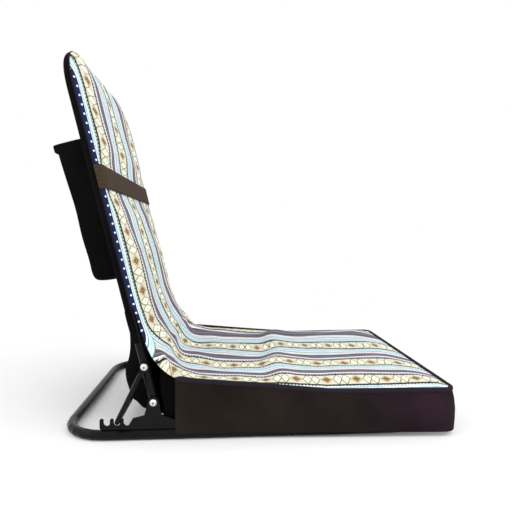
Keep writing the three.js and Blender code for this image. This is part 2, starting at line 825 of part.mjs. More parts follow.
// Cloth sleeve round the bare side of a tube, below the rear panel
function tubeSleeve() {
  const from = -seamOffset / clothRadius;
  const inner = tubeRadius + clothGap;
  const shape = new THREE.Shape();
  shape.absarc(0, 0, clothRadius, from, Math.PI - from, false);
  shape.absarc(0, 0, inner, Math.PI - from, from, true);
  const depth = coverStart - gap - sleeveStart;
  return new THREE.ExtrudeGeometry(shape, { depth, bevelEnabled: false, curveSegments: arcSegments });
}

// Strap across the front, round the tubes and over the seam cord
function elasticStrap() {
  const inner = tubeRadius + gap + backPipingRadius * 2 + gap;
  const wrap = strapTurnShares.map((share) => {
    const angle = (share * Math.PI) / 2;
    return [backHalf + inner * Math.cos(angle), -inner * Math.sin(angle)];
  });
  const line = (up) => {
    const front = backColumnShares.map((share) => {
      const x = backHalf * share;
      return [x, -Math.max(backStandoff(x, up, backCrown, clothRadius) + gap * 2, inner)];
    });
    const half = [...wrap, ...front];
    const left = half.slice(0, -1).reverse();
    const across = [...half.map(([x, y]) => [-x, y]), ...left];
    return across.map(([x, y]) => new THREE.Vector3(x, y, up));
  };
  const rows = [strapBottom, strapBottom + strapWidth / 2, strapBottom + strapWidth].map(line);
  return cloth(rows, strapThickness);
}

// How far the pocket stands off the plane of the back frame
function pocketStandoff(x, up, wall, flare) {
  const inset = insetOf(x, up - pocketBottom - wall, pocketHalfWidth - wall, pocketCorner);
  const rest = 1 - Math.min(Math.max(inset / pocketEdge, 0), 1);
  const share = (up - pocketBottom) / (pocketMouth - pocketBottom);
  const sag = pocketSag * Math.cos(share * Math.PI * 2) + pocketYawn * share * share;
  return clothRadius + gap + (pocketDepth + sag + flare - wall) * Math.sqrt(1 - rest * rest);
}

function pocketGrid(from, to, shares, wall, flare) {
  return shares.map((share) => {
    const up = Math.max(from + (to - from) * share, pocketBottom + wall);
    const width = halfWidthAt(up - pocketBottom - wall, pocketHalfWidth - wall, pocketCorner);
    return acrossPlaces(width, pocketColumnShares).map((x) => {
      return new THREE.Vector3(x, pocketStandoff(x, up, wall, flare), up);
    });
  });
}

function pocketPouch() {
  const outer = pocketGrid(pocketBottom, pocketMouth, pocketRowShares, 0, 0);
  return solidBetween(outer, pocketGrid(pocketBottom, pocketMouth, pocketRowShares, pocketWall, 0));
}

// Bound edge of the pocket, thicker than the cloth below it
function pocketHem() {
  const from = pocketMouth + gap;
  const outer = pocketGrid(from, pocketTop, hemRowShares, 0, hemFlare);
  return solidBetween(outer, pocketGrid(from, pocketTop, hemRowShares, hemThickness, hemFlare));
}

// Stay rod: a U of rod with forged flat eyes
function stayRod() {
  const corners = [
    [-legTopX, -rodStart],
    [-legFootX, -stayLength],
    [legFootX, -stayLength],
    [legTopX, -rodStart],
  ].map(([x, z]) => new THREE.Vector3(x, 0, z));
  const rod = sweep(roundSection(rodRadius, rodSides), roundRun(corners, rodBend, bendSteps));
  const eyes = sides.flatMap(([, side]) => {
    const eye = barAlongX(eyeRadius, eyeThickness, roundSides * 2).translate(side * eyeX, 0, 0);
    const tab = new THREE.BoxGeometry(eyeThickness, tabWidth, tabLength);
    return [eye, tab.translate(side * eyeX, 0, -tabLength / 2)];
  });
  // The forged end slopes from the round rod down to the flat eye
  const cutters = sides.map(([, side]) => {
    const slope = Math.atan2(legTopX + rodRadius - eyeX - eyeThickness / 2, forgeLength);
    const cutter = new THREE.BoxGeometry(rodRadius * 4, tabWidth + overrun, forgeLength * 4);
    cutter.translate(side * rodRadius * 2, 0, -forgeLength * 2).rotateY(-side * slope);
    return cutter.translate(side * (eyeX + eyeThickness / 2), 0, -rodStart);
  });
  const bore = barAlongX(shankRadius + gap, (eyeX + eyeThickness + overrun) * 2, roundSides);
  return cut(join([rod, ...eyes]), [...cutters, bore]);
}

groups.base.position.set(0, hingeBehindMiddle, 0);
groups.back.position.set(0, hingeBehindMiddle, hingeHeight);
groups.back.rotation.x = -backLean;
groups.stay.position.set(0, 0, pivotSpacing);
groups.stay.rotation.x = backLean + stayAngle;
groups.back.add(groups.stay);

place(groups.base, 'base_frame', floorLoop(), blackPaint());
place(groups.base, 'seat_crossbar_front', copedBar(loopHalf, false), blackPaint())
  .position.set(0, -loopFront + frontBarSetback, tubeRadius);
place(groups.base, 'seat_crossbar_rear', copedBar(loopHalf, false), blackPaint())
  .position.set(0, -rearBarSetback, tubeRadius);
for (const [label, side] of sides) {
  place(groups.base, `rack_plate_${label}`, rackPlate(), blackPaint()).position.x = side * loopHalf;
  const headFace = plateOuter + gap;
  place(groups.base, `pivot_rivet_${label}`, rivet(headFace - tailFace, side), zincSteel())
    .position.set(side * headFace, 0, hingeHeight);
  const washerFace = plateInner - gap - washerThickness;
  place(groups.base, `pivot_washer_${label}`, washer(side), zincSteel())
    .position.set(side * washerFace, 0, hingeHeight);
  place(groups.base, `bend_side_${label}`, bendSide(side), blackCloth());
}
place(groups.base, 'seat_foam', seatFoam(), foam());
const seatCoverGrid = seatGrid(seatPipingRadius + gap, columnShares);
place(groups.base, 'seat_top_cover', cloth(seatCoverGrid, clothThickness), stripedCloth());
place(groups.base, 'seat_boxing', seatBand(), blackCloth());
place(groups.base, 'seat_piping', seatPiping(), blackCloth());
place(groups.base, 'seat_underside', seatUnderside(), blackCloth());
place(groups.base, 'bend_pad', bendCore(), foam());
place(groups.base, 'bend_cover', bendCover(), stripedCloth());
place(groups.base, 'bend_gusset', bendGusset(), blackCloth());

place(groups.back, 'back_frame', backFrame(), blackPaint());
place(groups.back, 'back_crossbar', copedBar(backHalf, true), blackPaint()).position.z = backBarHeight;
place(groups.back, 'back_foam', backFoam(), foam());
place(groups.back, 'back_front_cover', backCloth(-1, rimDepth(), backCrown), stripedCloth());
place(groups.back, 'back_rear_panel', backCloth(1, 0, 0), blackCloth());
place(groups.back, 'back_piping', backPiping(), blackCloth());
place(groups.back, 'elastic_strap', elasticStrap(), webbing());
place(groups.back, 'pocket_pouch', pocketPouch(), blackCloth());
place(groups.back, 'pocket_hem', pocketHem(), blackCloth());
for (const [label, side] of sides) {
  const headFace = eyeX + eyeThickness / 2 + gap;
  place(groups.back, `stay_rivet_${label}`, rivet(headFace - tailFace, side), zincSteel())
    .position.set(side * headFace, 0, pivotSpacing);
  place(groups.back, `tube_sleeve_${label}`, tubeSleeve(), blackCloth())
    .position.set(side * backHalf, 0, sleeveStart);
}

place(groups.stay, 'stay_rod', stayRod(), blackPaint());

const chair = new THREE.Group();
chair.add(groups.base, groups.back);

export default chair;
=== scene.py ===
# %% [markdown]
# # A folding floor chair
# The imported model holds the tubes, plates, rivets and the plain solids of the soft parts. This
# script dresses it: it keeps the metal pieces and gives them a real finish, and it makes every
# cloth, cushion, cord and strap again as a fine mesh that lies where the plain solid lies.

import json
import math

import bpy
import numpy as np
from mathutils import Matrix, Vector


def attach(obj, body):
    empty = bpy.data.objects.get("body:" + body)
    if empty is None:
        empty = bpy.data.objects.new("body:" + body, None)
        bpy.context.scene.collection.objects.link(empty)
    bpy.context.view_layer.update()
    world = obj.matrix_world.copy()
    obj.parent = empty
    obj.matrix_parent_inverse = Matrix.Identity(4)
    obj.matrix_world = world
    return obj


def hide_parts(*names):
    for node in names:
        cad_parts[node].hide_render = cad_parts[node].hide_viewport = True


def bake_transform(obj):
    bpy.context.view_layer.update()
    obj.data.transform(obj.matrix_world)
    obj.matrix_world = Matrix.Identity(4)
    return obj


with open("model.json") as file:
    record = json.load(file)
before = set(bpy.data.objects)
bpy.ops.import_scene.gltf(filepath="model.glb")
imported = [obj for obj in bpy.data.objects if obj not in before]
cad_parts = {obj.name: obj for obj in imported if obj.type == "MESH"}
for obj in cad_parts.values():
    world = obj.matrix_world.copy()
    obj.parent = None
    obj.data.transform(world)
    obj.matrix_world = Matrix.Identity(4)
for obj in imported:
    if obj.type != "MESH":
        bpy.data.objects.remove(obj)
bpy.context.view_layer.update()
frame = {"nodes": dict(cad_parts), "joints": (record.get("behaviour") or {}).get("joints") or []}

# %% [markdown]
# ## Camera first
# The photograph was taken from beside the chair, low down and close, so the far edge of the seat
# is clearly smaller than the near one. The lens and the place were worked out from the chair's own
# parallel edges. A picture 512 pixels wide with a focal length of 480 pixels is a 33.75 mm lens on
# a 36 mm sensor.

# %% Camera at the photograph's viewing angle
MM = 0.001
SENSOR_MM = 36
IMAGE_PX = 512
FOCAL_PX = 480
CAMERA_SIDE = -965 * MM
CAMERA_BEFORE_HINGE = 113 * MM
CAMERA_HEIGHT = 322 * MM
NEAREST_SEEN = 10 * MM
YAW_TO_FRONT = math.radians(3.69)
PITCH_DOWN = math.radians(2.63)


def in_scene(name, data):
    """Puts a new object that shows this data into the scene."""
    item = bpy.data.objects.new(name, data)
    bpy.context.scene.collection.objects.link(item)
    return item


fold = next(joint for joint in frame["joints"] if joint["name"] == "backrest_fold")
hinge = Vector(fold["pos_m"])

camera_data = bpy.data.cameras.new("camera")
camera_data.sensor_width = SENSOR_MM
camera_data.lens = SENSOR_MM * FOCAL_PX / IMAGE_PX
camera_data.clip_start = NEAREST_SEEN
camera = in_scene("camera", camera_data)
camera.location = (CAMERA_SIDE, hinge.y - CAMERA_BEFORE_HINGE, CAMERA_HEIGHT)
camera.rotation_euler = (math.pi / 2 - PITCH_DOWN, 0, -math.pi / 2 - YAW_TO_FRONT)
bpy.context.scene.camera = camera
bpy.context.scene.view_settings.view_transform = "Standard"
print("Camera at", [round(c, 3) for c in camera.location], "lens", camera_data.lens, "mm")

# %% [markdown]
# ## Floor, background and lamps
# The chair stands on a white sweep in a photo tent. The floor is a plain pale sheet, and the world
# shows white to the camera and in reflections while it lights the chair at a lower level, so the
# dark cloth keeps its depth. A bright lamp could make the floor white too, but it would bleach the
# chair. Two large area lamps stand for the soft boxes.

# %% Colours and nodes
def linear(hex_colour):
    """An sRGB hex colour as linear red, green, blue and alpha."""
    parts = [int(hex_colour[k:k + 2], 16) / 255 for k in (1, 3, 5)]
    return [c / 12.92 if c <= 0.04045 else ((c + 0.055) / 1.055) ** 2.4 for c in parts] + [1.0]


def add(tree, kind, *inputs, out=0, **settings):
    """Adds one node, sets it up, links or fills its inputs in order and returns one output."""
    node = tree.nodes.new(kind)
    for name, value in settings.items():
        setattr(node, name, value)
    for socket, value in zip(node.inputs, inputs):
        if isinstance(value, bpy.types.NodeSocket):
            tree.links.new(value, socket)
        elif value is not None:
            socket.default_value = value
    return node.outputs[out] if node.outputs else None


print("Mid grey #808080 is", round(linear("#808080")[0], 3), "in linear light")

# %% White tent
WORLD_LIGHT = 0.85


def seen_directly(tree, *more):
    """1 for a ray that the camera sends out, or that a shiny surface sends on."""
    ray = tree.nodes.new("ShaderNodeLightPath")
    seen = ray.outputs["Is Camera Ray"]
    for name in ("Is Glossy Ray", *more):
        seen = add(tree, "ShaderNodeMath", seen, ray.outputs[name], operation="MAXIMUM")
    return seen


world = bpy.data.worlds.new("photo_tent")
bpy.context.scene.world = world
world.use_nodes = True
tree = world.node_tree
tree.nodes.clear()
seen = seen_directly(tree, "Is Transmission Ray")
strength = add(tree, "ShaderNodeMapRange", seen, 0.0, 1.0, WORLD_LIGHT, 1.0)
background = add(tree, "ShaderNodeBackground", (1, 1, 1, 1), strength)
add(tree, "ShaderNodeOutputWorld", background)
print("The tent lights the chair at", WORLD_LIGHT, "of what it shows")

# %% Paper sweep
FLOOR_SIZE = 12.0
FADE_FROM = 0.25
FADE_TO = 0.8

floor_mesh = bpy.data.meshes.new("floor")
corner = FLOOR_SIZE / 2
floor_mesh.from_pydata(
    [(-corner, -corner, 0), (corner, -corner, 0), (corner, corner, 0), (-corner, corner, 0)],
    [], [(0, 1, 2, 3)])
floor = in_scene("floor", floor_mesh)
paper = bpy.data.materials.new("white_paper_sweep")
paper.use_nodes = True
tree = paper.node_tree
tree.nodes.clear()
matt = add(tree, "ShaderNodeBsdfDiffuse", linear("#fbfafa"))
glow = add(tree, "ShaderNodeEmission", (1, 1, 1, 1), 1.0)
position = add(tree, "ShaderNodeNewGeometry")
away = add(tree, "ShaderNodeVectorMath", position, operation="LENGTH", out=1)
fade = add(tree, "ShaderNodeMapRange", away, FADE_FROM, FADE_TO, 0.0, 1.0)
fade = add(tree, "ShaderNodeMath", fade, seen_directly(tree), operation="MULTIPLY")
add(tree, "ShaderNodeOutputMaterial", add(tree, "ShaderNodeMixShader", fade, matt, glow))
floor_mesh.materials.append(paper)
print("The floor fades to white from", FADE_FROM, "to", FADE_TO, "m away")

# %% Soft boxes
LAMPS = (
    ("soft_box_over_front", (-1.0, -1.3, 1.7), 1.6, 22),
    ("soft_box_over_rear", (-0.9, 1.5, 1.3), 1.4, 12),
)
LIT_POINT = Vector((0, 0, 0.25))

for name, place, size, watts in LAMPS:
    lamp_data = bpy.data.lights.new(name, "AREA")
    lamp_data.size = size
    lamp_data.energy = watts
    lamp = in_scene(name, lamp_data)
    lamp.location = place
    aim = LIT_POINT - lamp.location
    lamp.rotation_euler = aim.to_track_quat("-Z", "Y").to_euler()
    print(name, "is", size, "m wide and gives", watts, "W")

# %% [markdown]
# ## The lines that the cloth follows
# All soft pieces lie on a few lines: the seat's top seam, the round of the bend, and the face of
# the back, which leans and is wrapped over a tube at its sides and top. These are the lines that
# the solid pieces have, so that every skin lies where its plain solid lies; only the dressed seat
# widens a little towards its front, as the real one does. Each line could be a drawn curve. A
# formula is used instead, because two skins that share it stay in touch.

# %% Sizes of the frame and the pads
TUBE_RADIUS = 8 * MM
CLOTH = 1.2 * MM
CLOTH_RADIUS = 9.85 * MM
GAP = 0.3 * MM
LEAN = math.radians(13.5)
BACK_HALF = 204.15 * MM
BACK_TOP = 566 * MM
BACK_CORNER = 65 * MM
BACK_CROWN = 6.5 * MM
BACK_CROWN_RISE = 80 * MM
COVER_START = 148.5 * MM
SEAM_OFFSET = 2.2 * MM
SEAT_HALF = 221 * MM
SEAT_REAR = 35 * MM
SEAT_FRONT = 477.5 * MM
SEAT_FLARE = 0.055  # the front is wider by this share
SEAT_CORNER = 18 * MM
SEAT_SPLIT = 160 * MM
REAR_HEIGHT = 95.7 * MM
FRONT_HEIGHT = 74 * MM
WEDGE_SHARE = 0.55  # the wedge of foam thins out over this share of the seat
SEAT_CROWN = 14 * MM
CROWN_SHARE = 0.6  # the crown is full from this share of the seat on
SHOULDER = 45 * MM
SEAT_SHOULDER = 75 * MM
TOP_RADIUS = BACK_CORNER + CLOTH_RADIUS
print("The seat is", round((SEAT_FRONT - SEAT_REAR) / MM), "mm long, and the back is",
      round(BACK_TOP / MM), "mm high above its hinge")

# %% Formulas for edges
def shoulder(inset, width=SHOULDER):
    """Rises from 0 at a seam to 1 well inside the cushion, round like a stuffed edge."""
    return 1 - (1 - np.clip(inset / width, 0, 1)) ** 2


def smooth(value, start, end):
    """0 before start, 1 after end, with a soft turn at both."""
    t = np.clip((value - start) / (end - start), 0, 1)
    return t * t * (3 - 2 * t)


def bump_at(value, centre, width):
    """1 at the centre, falling away on both sides over about the width."""
    return np.exp(-((value - centre) / width) ** 2)


def half_width(from_end, half, corner):
    """Half the width of an outline with round corners, at a distance from its end."""
    rest = corner - np.clip(from_end, 0, corner)
    return half - corner + np.sqrt(np.maximum(corner ** 2 - rest ** 2, 0))


def inset_of(x, from_end, half, corner):
    """Distance in from the edge of an outline with round corners."""
    beyond_x = np.abs(x) - (half - corner)
    beyond_end = corner - from_end
    in_corner = (beyond_x > 0) & (beyond_end > 0)
    straight = np.minimum(half - np.abs(x), from_end)
    return np.where(in_corner, corner - np.hypot(beyond_x, beyond_end), straight)


def on_tube(inset):
    """Height of cloth wrapped on a tube, at a distance in from its outermost line."""
    off_axis = CLOTH_RADIUS - np.clip(inset, 0, CLOTH_RADIUS)
    return np.sqrt(CLOTH_RADIUS ** 2 - off_axis ** 2)


print("Cloth on a tube stands", round(float(on_tube(CLOTH_RADIUS)) / MM, 2), "mm proud of its axis")

# %% Heights of the seat and the back
def seam_height(reach):
    """Height of the seat's side seam, at a reach in front of the hinge."""
    share = (reach - SEAT_REAR) / (SEAT_FRONT - SEAT_REAR)
    rise = np.maximum(1 - share / WEDGE_SHARE, 0)
    return FRONT_HEIGHT + (REAR_HEIGHT - FRONT_HEIGHT) * rise


def seat_crown(reach):
    """Height of the seat's crown above its seams."""
    share = np.maximum((reach - SEAT_REAR) / (SEAT_FRONT - SEAT_REAR), 0)
    return SEAT_CROWN * np.sin(np.minimum(share / CROWN_SHARE, 1) * math.pi / 2)


def back_standoff(x, up, crown):
    """How far the cloth of the back stands off the plane through its tubes."""
    inset = inset_of(x, BACK_TOP + CLOTH_RADIUS - up, BACK_HALF + CLOTH_RADIUS, TOP_RADIUS)
    rise = np.clip((up - COVER_START) / BACK_CROWN_RISE, 0, 1)
    full = CLOTH_RADIUS + crown * rise * shoulder(inset - CLOTH_RADIUS)
    return np.where(inset < CLOTH_RADIUS, on_tube(inset), full)


def from_hinge(x, ahead, height):
    """Points of the seat: ahead is the distance in front of the hinge line."""
    x, ahead, height = np.broadcast_arrays(x, ahead, height)
    forward = np.clip((ahead - SEAT_SPLIT) / (SEAT_FRONT - SEAT_SPLIT), 0, 1)
    return np.stack([x * (1 + SEAT_FLARE * forward), hinge.y - ahead, height], axis=-1)


def on_back(x, up, behind):
    """Points of the back in its own leaning plane: up along it from the hinge, and behind it."""
    x, up, behind = np.broadcast_arrays(x, up, behind)
    y = hinge.y + up * math.sin(LEAN) + behind * math.cos(LEAN)
    z = hinge.z + up * math.cos(LEAN) - behind * math.sin(LEAN)
    return np.stack([x, y, z], axis=-1)


print("The back leans", round(math.degrees(LEAN), 1), "degrees and its hinge is at", hinge[:])

# %% [markdown]
# ## One way to make every skin
# A skin is a grid of points with rows and columns. The cloth on it is measured in metres along and
# across, and stored on the points, so that stripes and weave stay put when the chair folds. A UV
# map could hold the same, but a plain attribute needs no unwrapping and has room for a third
# measure. The sheet gets its real thickness inwards.

# %% Lengths and directions
def running_length(line):
    """Length along a line of points, from its first point to each one."""
    return np.concatenate([[0], np.cumsum(np.linalg.norm(np.diff(line, axis=0), axis=1))])


def unit(vectors):
    """Vectors of length 1 in the same directions."""
    return vectors / np.maximum(np.linalg.norm(vectors, axis=-1, keepdims=True), 1e-9)

# %% Skins from grids of points
def skin(name, grid, kind, cloth=None, thickness=CLOTH, levels=1):
    """A mesh with one face for each cell of the grid, smooth, with cloth measures on its points."""
    rows, columns = grid.shape[:2]
    index = np.arange(rows * columns).reshape(rows, columns)
    faces = np.stack([index[:-1, :-1], index[:-1, 1:], index[1:, 1:], index[1:, :-1]], axis=-1)
    mesh = bpy.data.meshes.new(name)
    mesh.from_pydata(grid.reshape(-1, 3).tolist(), [], faces.reshape(-1, 4).tolist())
    if cloth is None:
        cloth = measures(grid)
    layer = mesh.attributes.new("cloth", "FLOAT_VECTOR", "POINT")
    layer.data.foreach_set("vector", cloth.reshape(-1).astype(np.float32))
    mesh.shade_smooth()
    mesh.materials.append(kind)
    piece = in_scene(name, mesh)
    if levels:
        soft = piece.modifiers.new("soft", "SUBSURF")
        soft.levels = levels
        soft.render_levels = levels
    if thickness:
        thick = piece.modifiers.new("thick", "SOLIDIFY")
        thick.thickness = thickness
        thick.offset = -1
    return piece


def measures(grid):
    """Length of cloth across from the middle column and along from the first row."""
    across = np.zeros(grid.shape[:2])
    across[:, 1:] = np.cumsum(np.linalg.norm(np.diff(grid, axis=1), axis=2), axis=1)
    across -= across[:, grid.shape[1] // 2][:, None]
    middle = grid[:, grid.shape[1] // 2]
    along = running_length(middle)
    return np.stack([across, np.broadcast_to(along[:, None], across.shape), across * 0], axis=-1)

# %% Waves and columns
def ripple(u, v, waves):
    """A sum of sine waves over the cloth, each with its two lengths, height and start."""
    total = 0
    for length_u, length_v, height, start in waves:
        total = total + height * np.sin(2 * math.pi * (u / length_u + v / length_v) + start)
    return total


WRAP_STEPS = 6
OPEN_STEPS = 24


def columns_for(half):
    """Places across: close together where the cloth rounds an edge, even in between."""
    turn = np.linspace(0, math.pi / 2, WRAP_STEPS + 1)
    wrapped = CLOTH_RADIUS * (1 - np.cos(turn))
    open_part = np.linspace(CLOTH_RADIUS, half, OPEN_STEPS + 1)[1:]
    left = np.concatenate([wrapped, open_part]) - half
    return np.concatenate([left, -left[-2::-1]])


print("A row of cloth has", len(columns_for(BACK_HALF)), "points")

# %% [markdown]
# ## The striped jacquard
# The real cloth is woven cotton with coloured weft: cream ground with brown and rust diamonds,
# dark green zigzags, plain white, grey and pale blue stripes. A jacquard figure is made of square
# stitches, so the pattern's places are first rounded to a stitch. Stitch and thread are drawn
# coarser than the real ones, because finer ones would vanish in the picture. The eye takes a matt
# surface with small colour changes from thread to thread. An image of the cloth could be wrapped
# on, but nodes stay sharp at any distance and need no file.

# %% Colours of the stripes and the border
REPEAT = 125 * MM
BORDER_WIDTH = 28 * MM
STRIPES = (
    (0.0, "#e2dec8"), (0.165, "#f7f6f4"), (0.2, "#857a83"), (0.212, "#fbfafa"),
    (0.24, "#777182"), (0.25, "#e6e2ee"), (0.275, "#fbfafa"), (0.3, "#3f3c46"),
    (0.315, "#655f6b"), (0.36, "#a39cab"), (0.372, "#544c57"), (0.43, "#7d7789"),
    (0.46, "#f8f6fa"), (0.485, "#7d696e"), (0.497, "#fbfafa"), (0.53, "#59616c"),
    (0.54, "#fbfafa"), (0.56, "#3f606e"), (0.572, "#b9dfe8"), (0.605, "#f2fafa"),
    (0.635, "#93bfd3"), (0.66, "#55717d"), (0.67, "#f4fbfb"), (0.705, "#a3cadb"),
    (0.735, "#f4fbfb"), (0.76, "#bcd0cf"), (0.78, "#4c5c5d"), (0.79, "#f7f6f4"),
    (0.835, "#e2dec8"),
)
BORDER = (
    (0.0, "#0a0f24"), (0.17, "#13214f"), (0.46, "#0a1229"), (0.52, "#eef5f7"),
    (0.6, "#5f9dbd"), (0.65, "#f2f8f8"), (0.72, "#bfe8ee"), (0.84, "#eef7f2"),
    (0.9, "#a9cfc0"), (0.95, "#4c5f52"),
)
print("The cloth repeats", len(STRIPES), "bands of colour every", round(REPEAT / MM), "mm")

# %% Helpers for materials
MATH = "ShaderNodeMath"


def ramp(tree, factor, stops, interpolation="CONSTANT"):
    """A colour ramp with these stops of place and colour."""
    colour = add(tree, "ShaderNodeValToRGB", factor)
    bands = colour.node.color_ramp
    bands.interpolation = interpolation
    for place, _ in stops[2:]:
        bands.elements.new(place)
    for element, (place, hex_colour) in zip(bands.elements, stops):
        element.position = place
        element.color = linear(hex_colour)
    return colour


def finish(name, colour, bump, bump_height, **settings):
    """A material whose colour and bump come from its own nodes."""
    tree = colour.id_data
    shader = tree.nodes.new("ShaderNodeBsdfPrincipled")
    tree.links.new(colour, shader.inputs["Base Color"])
    for socket, value in settings.items():
        target = shader.inputs[socket.replace("_", " ")]
        if isinstance(value, bpy.types.NodeSocket):
            tree.links.new(value, target)
        else:
            target.default_value = value
    relief = tree.nodes.new("ShaderNodeBump")
    relief.inputs["Distance"].default_value = bump_height
    tree.links.new(bump, relief.inputs["Height"])
    tree.links.new(relief.outputs["Normal"], shader.inputs["Normal"])
    add(tree, "ShaderNodeOutputMaterial", shader.outputs["BSDF"])
    return bpy.data.materials[name]


def new_tree(name):
    """The empty node tree of a new material."""
    kind = bpy.data.materials.new(name)
    kind.use_nodes = True
    kind.node_tree.nodes.clear()
    return kind.node_tree


def cloth_places(tree):
    """The stored places on the cloth: across, along, the third measure, and all as one vector."""
    stored = add(tree, "ShaderNodeAttribute", attribute_name="cloth", out="Vector")
    parts = add(tree, "ShaderNodeSeparateXYZ", stored).node.outputs
    return parts["X"], parts["Y"], parts["Z"], stored


def masked(tree, mask, below, above):
    """Lays one colour over another where the mask is 1."""
    mix = tree.nodes.new("ShaderNodeMix")
    mix.data_type = "RGBA"
    for socket, value in ((0, mask), (6, below), (7, above)):
        if isinstance(value, bpy.types.NodeSocket):
            tree.links.new(value, mix.inputs[socket])
        else:
            mix.inputs[socket].default_value = value
    return mix.outputs[2]

# %% Rows of diamonds and flowers
MOTIF_PITCH = 50 * MM
MOTIF_HALF = 0.17  # half a row's width, as a share of the repeat
DIAMOND_HALF = 0.52
FLOWER_PLACE = 0.73
FLOWER_HALF = 0.33
FLOWER_RISE = 1.15
FLOWER_EDGE = 0.97
GROUND = "#e2dec8"


def motif_row(tree, colour, stitch_y, off_row):
    """Lays the woven figures over the middle of each cream row."""
    off_motif = add(tree, MATH, stitch_y, MOTIF_PITCH / 2, operation="PINGPONG")
    u = add(tree, MATH, off_motif, MOTIF_PITCH / 2, operation="DIVIDE")
    v = add(tree, MATH, off_row, MOTIF_HALF, operation="DIVIDE")
    in_row = add(tree, MATH, v, 1.0, operation="LESS_THAN")
    diamond = add(tree, MATH, u, 1 / DIAMOND_HALF, v, operation="MULTIPLY_ADD")
    beside = add(tree, MATH, u, 1 / FLOWER_HALF, -FLOWER_PLACE / FLOWER_HALF,
                 operation="MULTIPLY_ADD")
    above = add(tree, MATH, v, FLOWER_RISE, operation="DIVIDE")
    flower = add(tree, "ShaderNodeCombineXYZ", beside, above)
    flower = add(tree, "ShaderNodeVectorMath", flower, operation="ABSOLUTE")
    flower = add(tree, "ShaderNodeVectorMath", flower, (1, 1, 0), operation="DOT_PRODUCT",
                 out="Value")
    figure = ramp(tree, diamond, (
        (0.0, "#d9bd86"), (0.1, "#4a3020"), (0.24, "#a5713e"), (0.44, "#4f3f2d"),
        (0.54, "#d8c99e"), (0.72, "#77714f"), (0.8, GROUND),
    ))
    petals = ramp(tree, flower, (
        (0.0, "#b5ae80"), (0.14, "#fafae6"), (0.66, "#eeedcc"), (0.8, "#5a5542"),
        (FLOWER_EDGE, GROUND),
    ))
    near_flower = add(tree, MATH, flower, FLOWER_EDGE, operation="LESS_THAN")
    figure = masked(tree, near_flower, figure, petals)
    return masked(tree, in_row, colour, figure)


print("A diamond stands every", round(MOTIF_PITCH / MM), "mm along a row")

# %% Zigzag lines and the dotted border
ZIGZAG_PITCH = 5.6 * MM
ZIGZAG_PLACE = 0.183
ZIGZAG_SWING = 0.045
ZIGZAG_LINE = 0.048
DOT_PITCH = 14.3 * MM
DOT_PLACE = 17 * MM
DOT_RADIUS = 1.7 * MM


def zigzag_line(tree, colour, along, off_row):
    """Lays a dark zigzag over the colour, on both sides of each row of figures."""
    half_turn = add(tree, MATH, along, ZIGZAG_PITCH / 2, operation="PINGPONG")
    swing = add(tree, MATH, half_turn, 2 * ZIGZAG_SWING / ZIGZAG_PITCH,
                ZIGZAG_PLACE - ZIGZAG_SWING / 2, operation="MULTIPLY_ADD")
    zigzag = add(tree, MATH, off_row, swing, ZIGZAG_LINE, operation="COMPARE")
    return masked(tree, zigzag, colour, linear("#1c2120"))


def dotted_border(tree, colour, along, border):
    """Lays the navy border with its white dots over the near edge of the cloth."""
    edge_share = add(tree, "ShaderNodeMapRange", border, -BORDER_WIDTH, 0.0, 0.0, 1.0)
    edging = ramp(tree, edge_share, BORDER)
    dot_y = add(tree, MATH, along, DOT_PITCH / 2, operation="PINGPONG")
    dot_x = add(tree, MATH, border, DOT_PLACE, operation="ADD")
    dot = add(tree, "ShaderNodeCombineXYZ", dot_x, dot_y)
    dot = add(tree, "ShaderNodeVectorMath", dot, operation="LENGTH", out="Value")
    dot = add(tree, MATH, dot, DOT_RADIUS, operation="LESS_THAN")
    edging = masked(tree, dot, edging, linear("#e8eef6"))
    in_border = add(tree, MATH, border, 0.0, operation="LESS_THAN")
    return masked(tree, in_border, colour, edging)


print("Zigzags turn every", round(ZIGZAG_PITCH / MM, 1), "mm, and dots come every",
      round(DOT_PITCH / MM, 1), "mm")

# %% Striped cloth
STITCH = 1.2 * MM
THREAD = 1.3 * MM
WEFT_STRETCH = 0.35  # a weft thread's grain is drawn out along it
SLUBS_PER_METRE = 55.0
WEFT_SHADE = (0.86, 1.06)


def striped_cloth():
    """The whole jacquard: stripes, figures, zigzags, border and the grain of its threads."""
    tree = new_tree("striped_jacquard")
    across, along, border, stored = cloth_places(tree)
    stitch_x = add(tree, MATH, across, STITCH, operation="SNAP")
    stitch_y = add(tree, MATH, along, STITCH, operation="SNAP")
    row = add(tree, MATH, stitch_x, REPEAT, operation="DIVIDE")
    colour = ramp(tree, add(tree, MATH, row, operation="FRACT"), STRIPES)
    off_row = add(tree, MATH, row, 0.5, operation="PINGPONG")
    colour = zigzag_line(tree, colour, along, off_row)
    colour = motif_row(tree, colour, stitch_y, off_row)
    colour = dotted_border(tree, colour, along, border)

    threads = add(tree, "ShaderNodeVectorMath", stored, (1 / THREAD, WEFT_STRETCH / THREAD, 1),
                  operation="MULTIPLY")
    weft = add(tree, "ShaderNodeTexNoise", threads, None, 1.0, 3.0)
    slubs = add(tree, "ShaderNodeTexNoise", stored, None, SLUBS_PER_METRE, 4.0)
    shade = add(tree, MATH, weft, slubs, operation="ADD")
    shade = add(tree, "ShaderNodeMapRange", shade, 0.7, 1.3, *WEFT_SHADE)
    colour = add(tree, "ShaderNodeVectorMath", colour, shade, operation="MULTIPLY")
    return finish("striped_jacquard", colour, weft, 0.35 * MM, Roughness=0.88, Sheen_Weight=0.06,
                  Sheen_Roughness=0.5, Specular_IOR_Level=0.2)


jacquard = striped_cloth()
print("The jacquard has", len(jacquard.node_tree.nodes), "nodes")
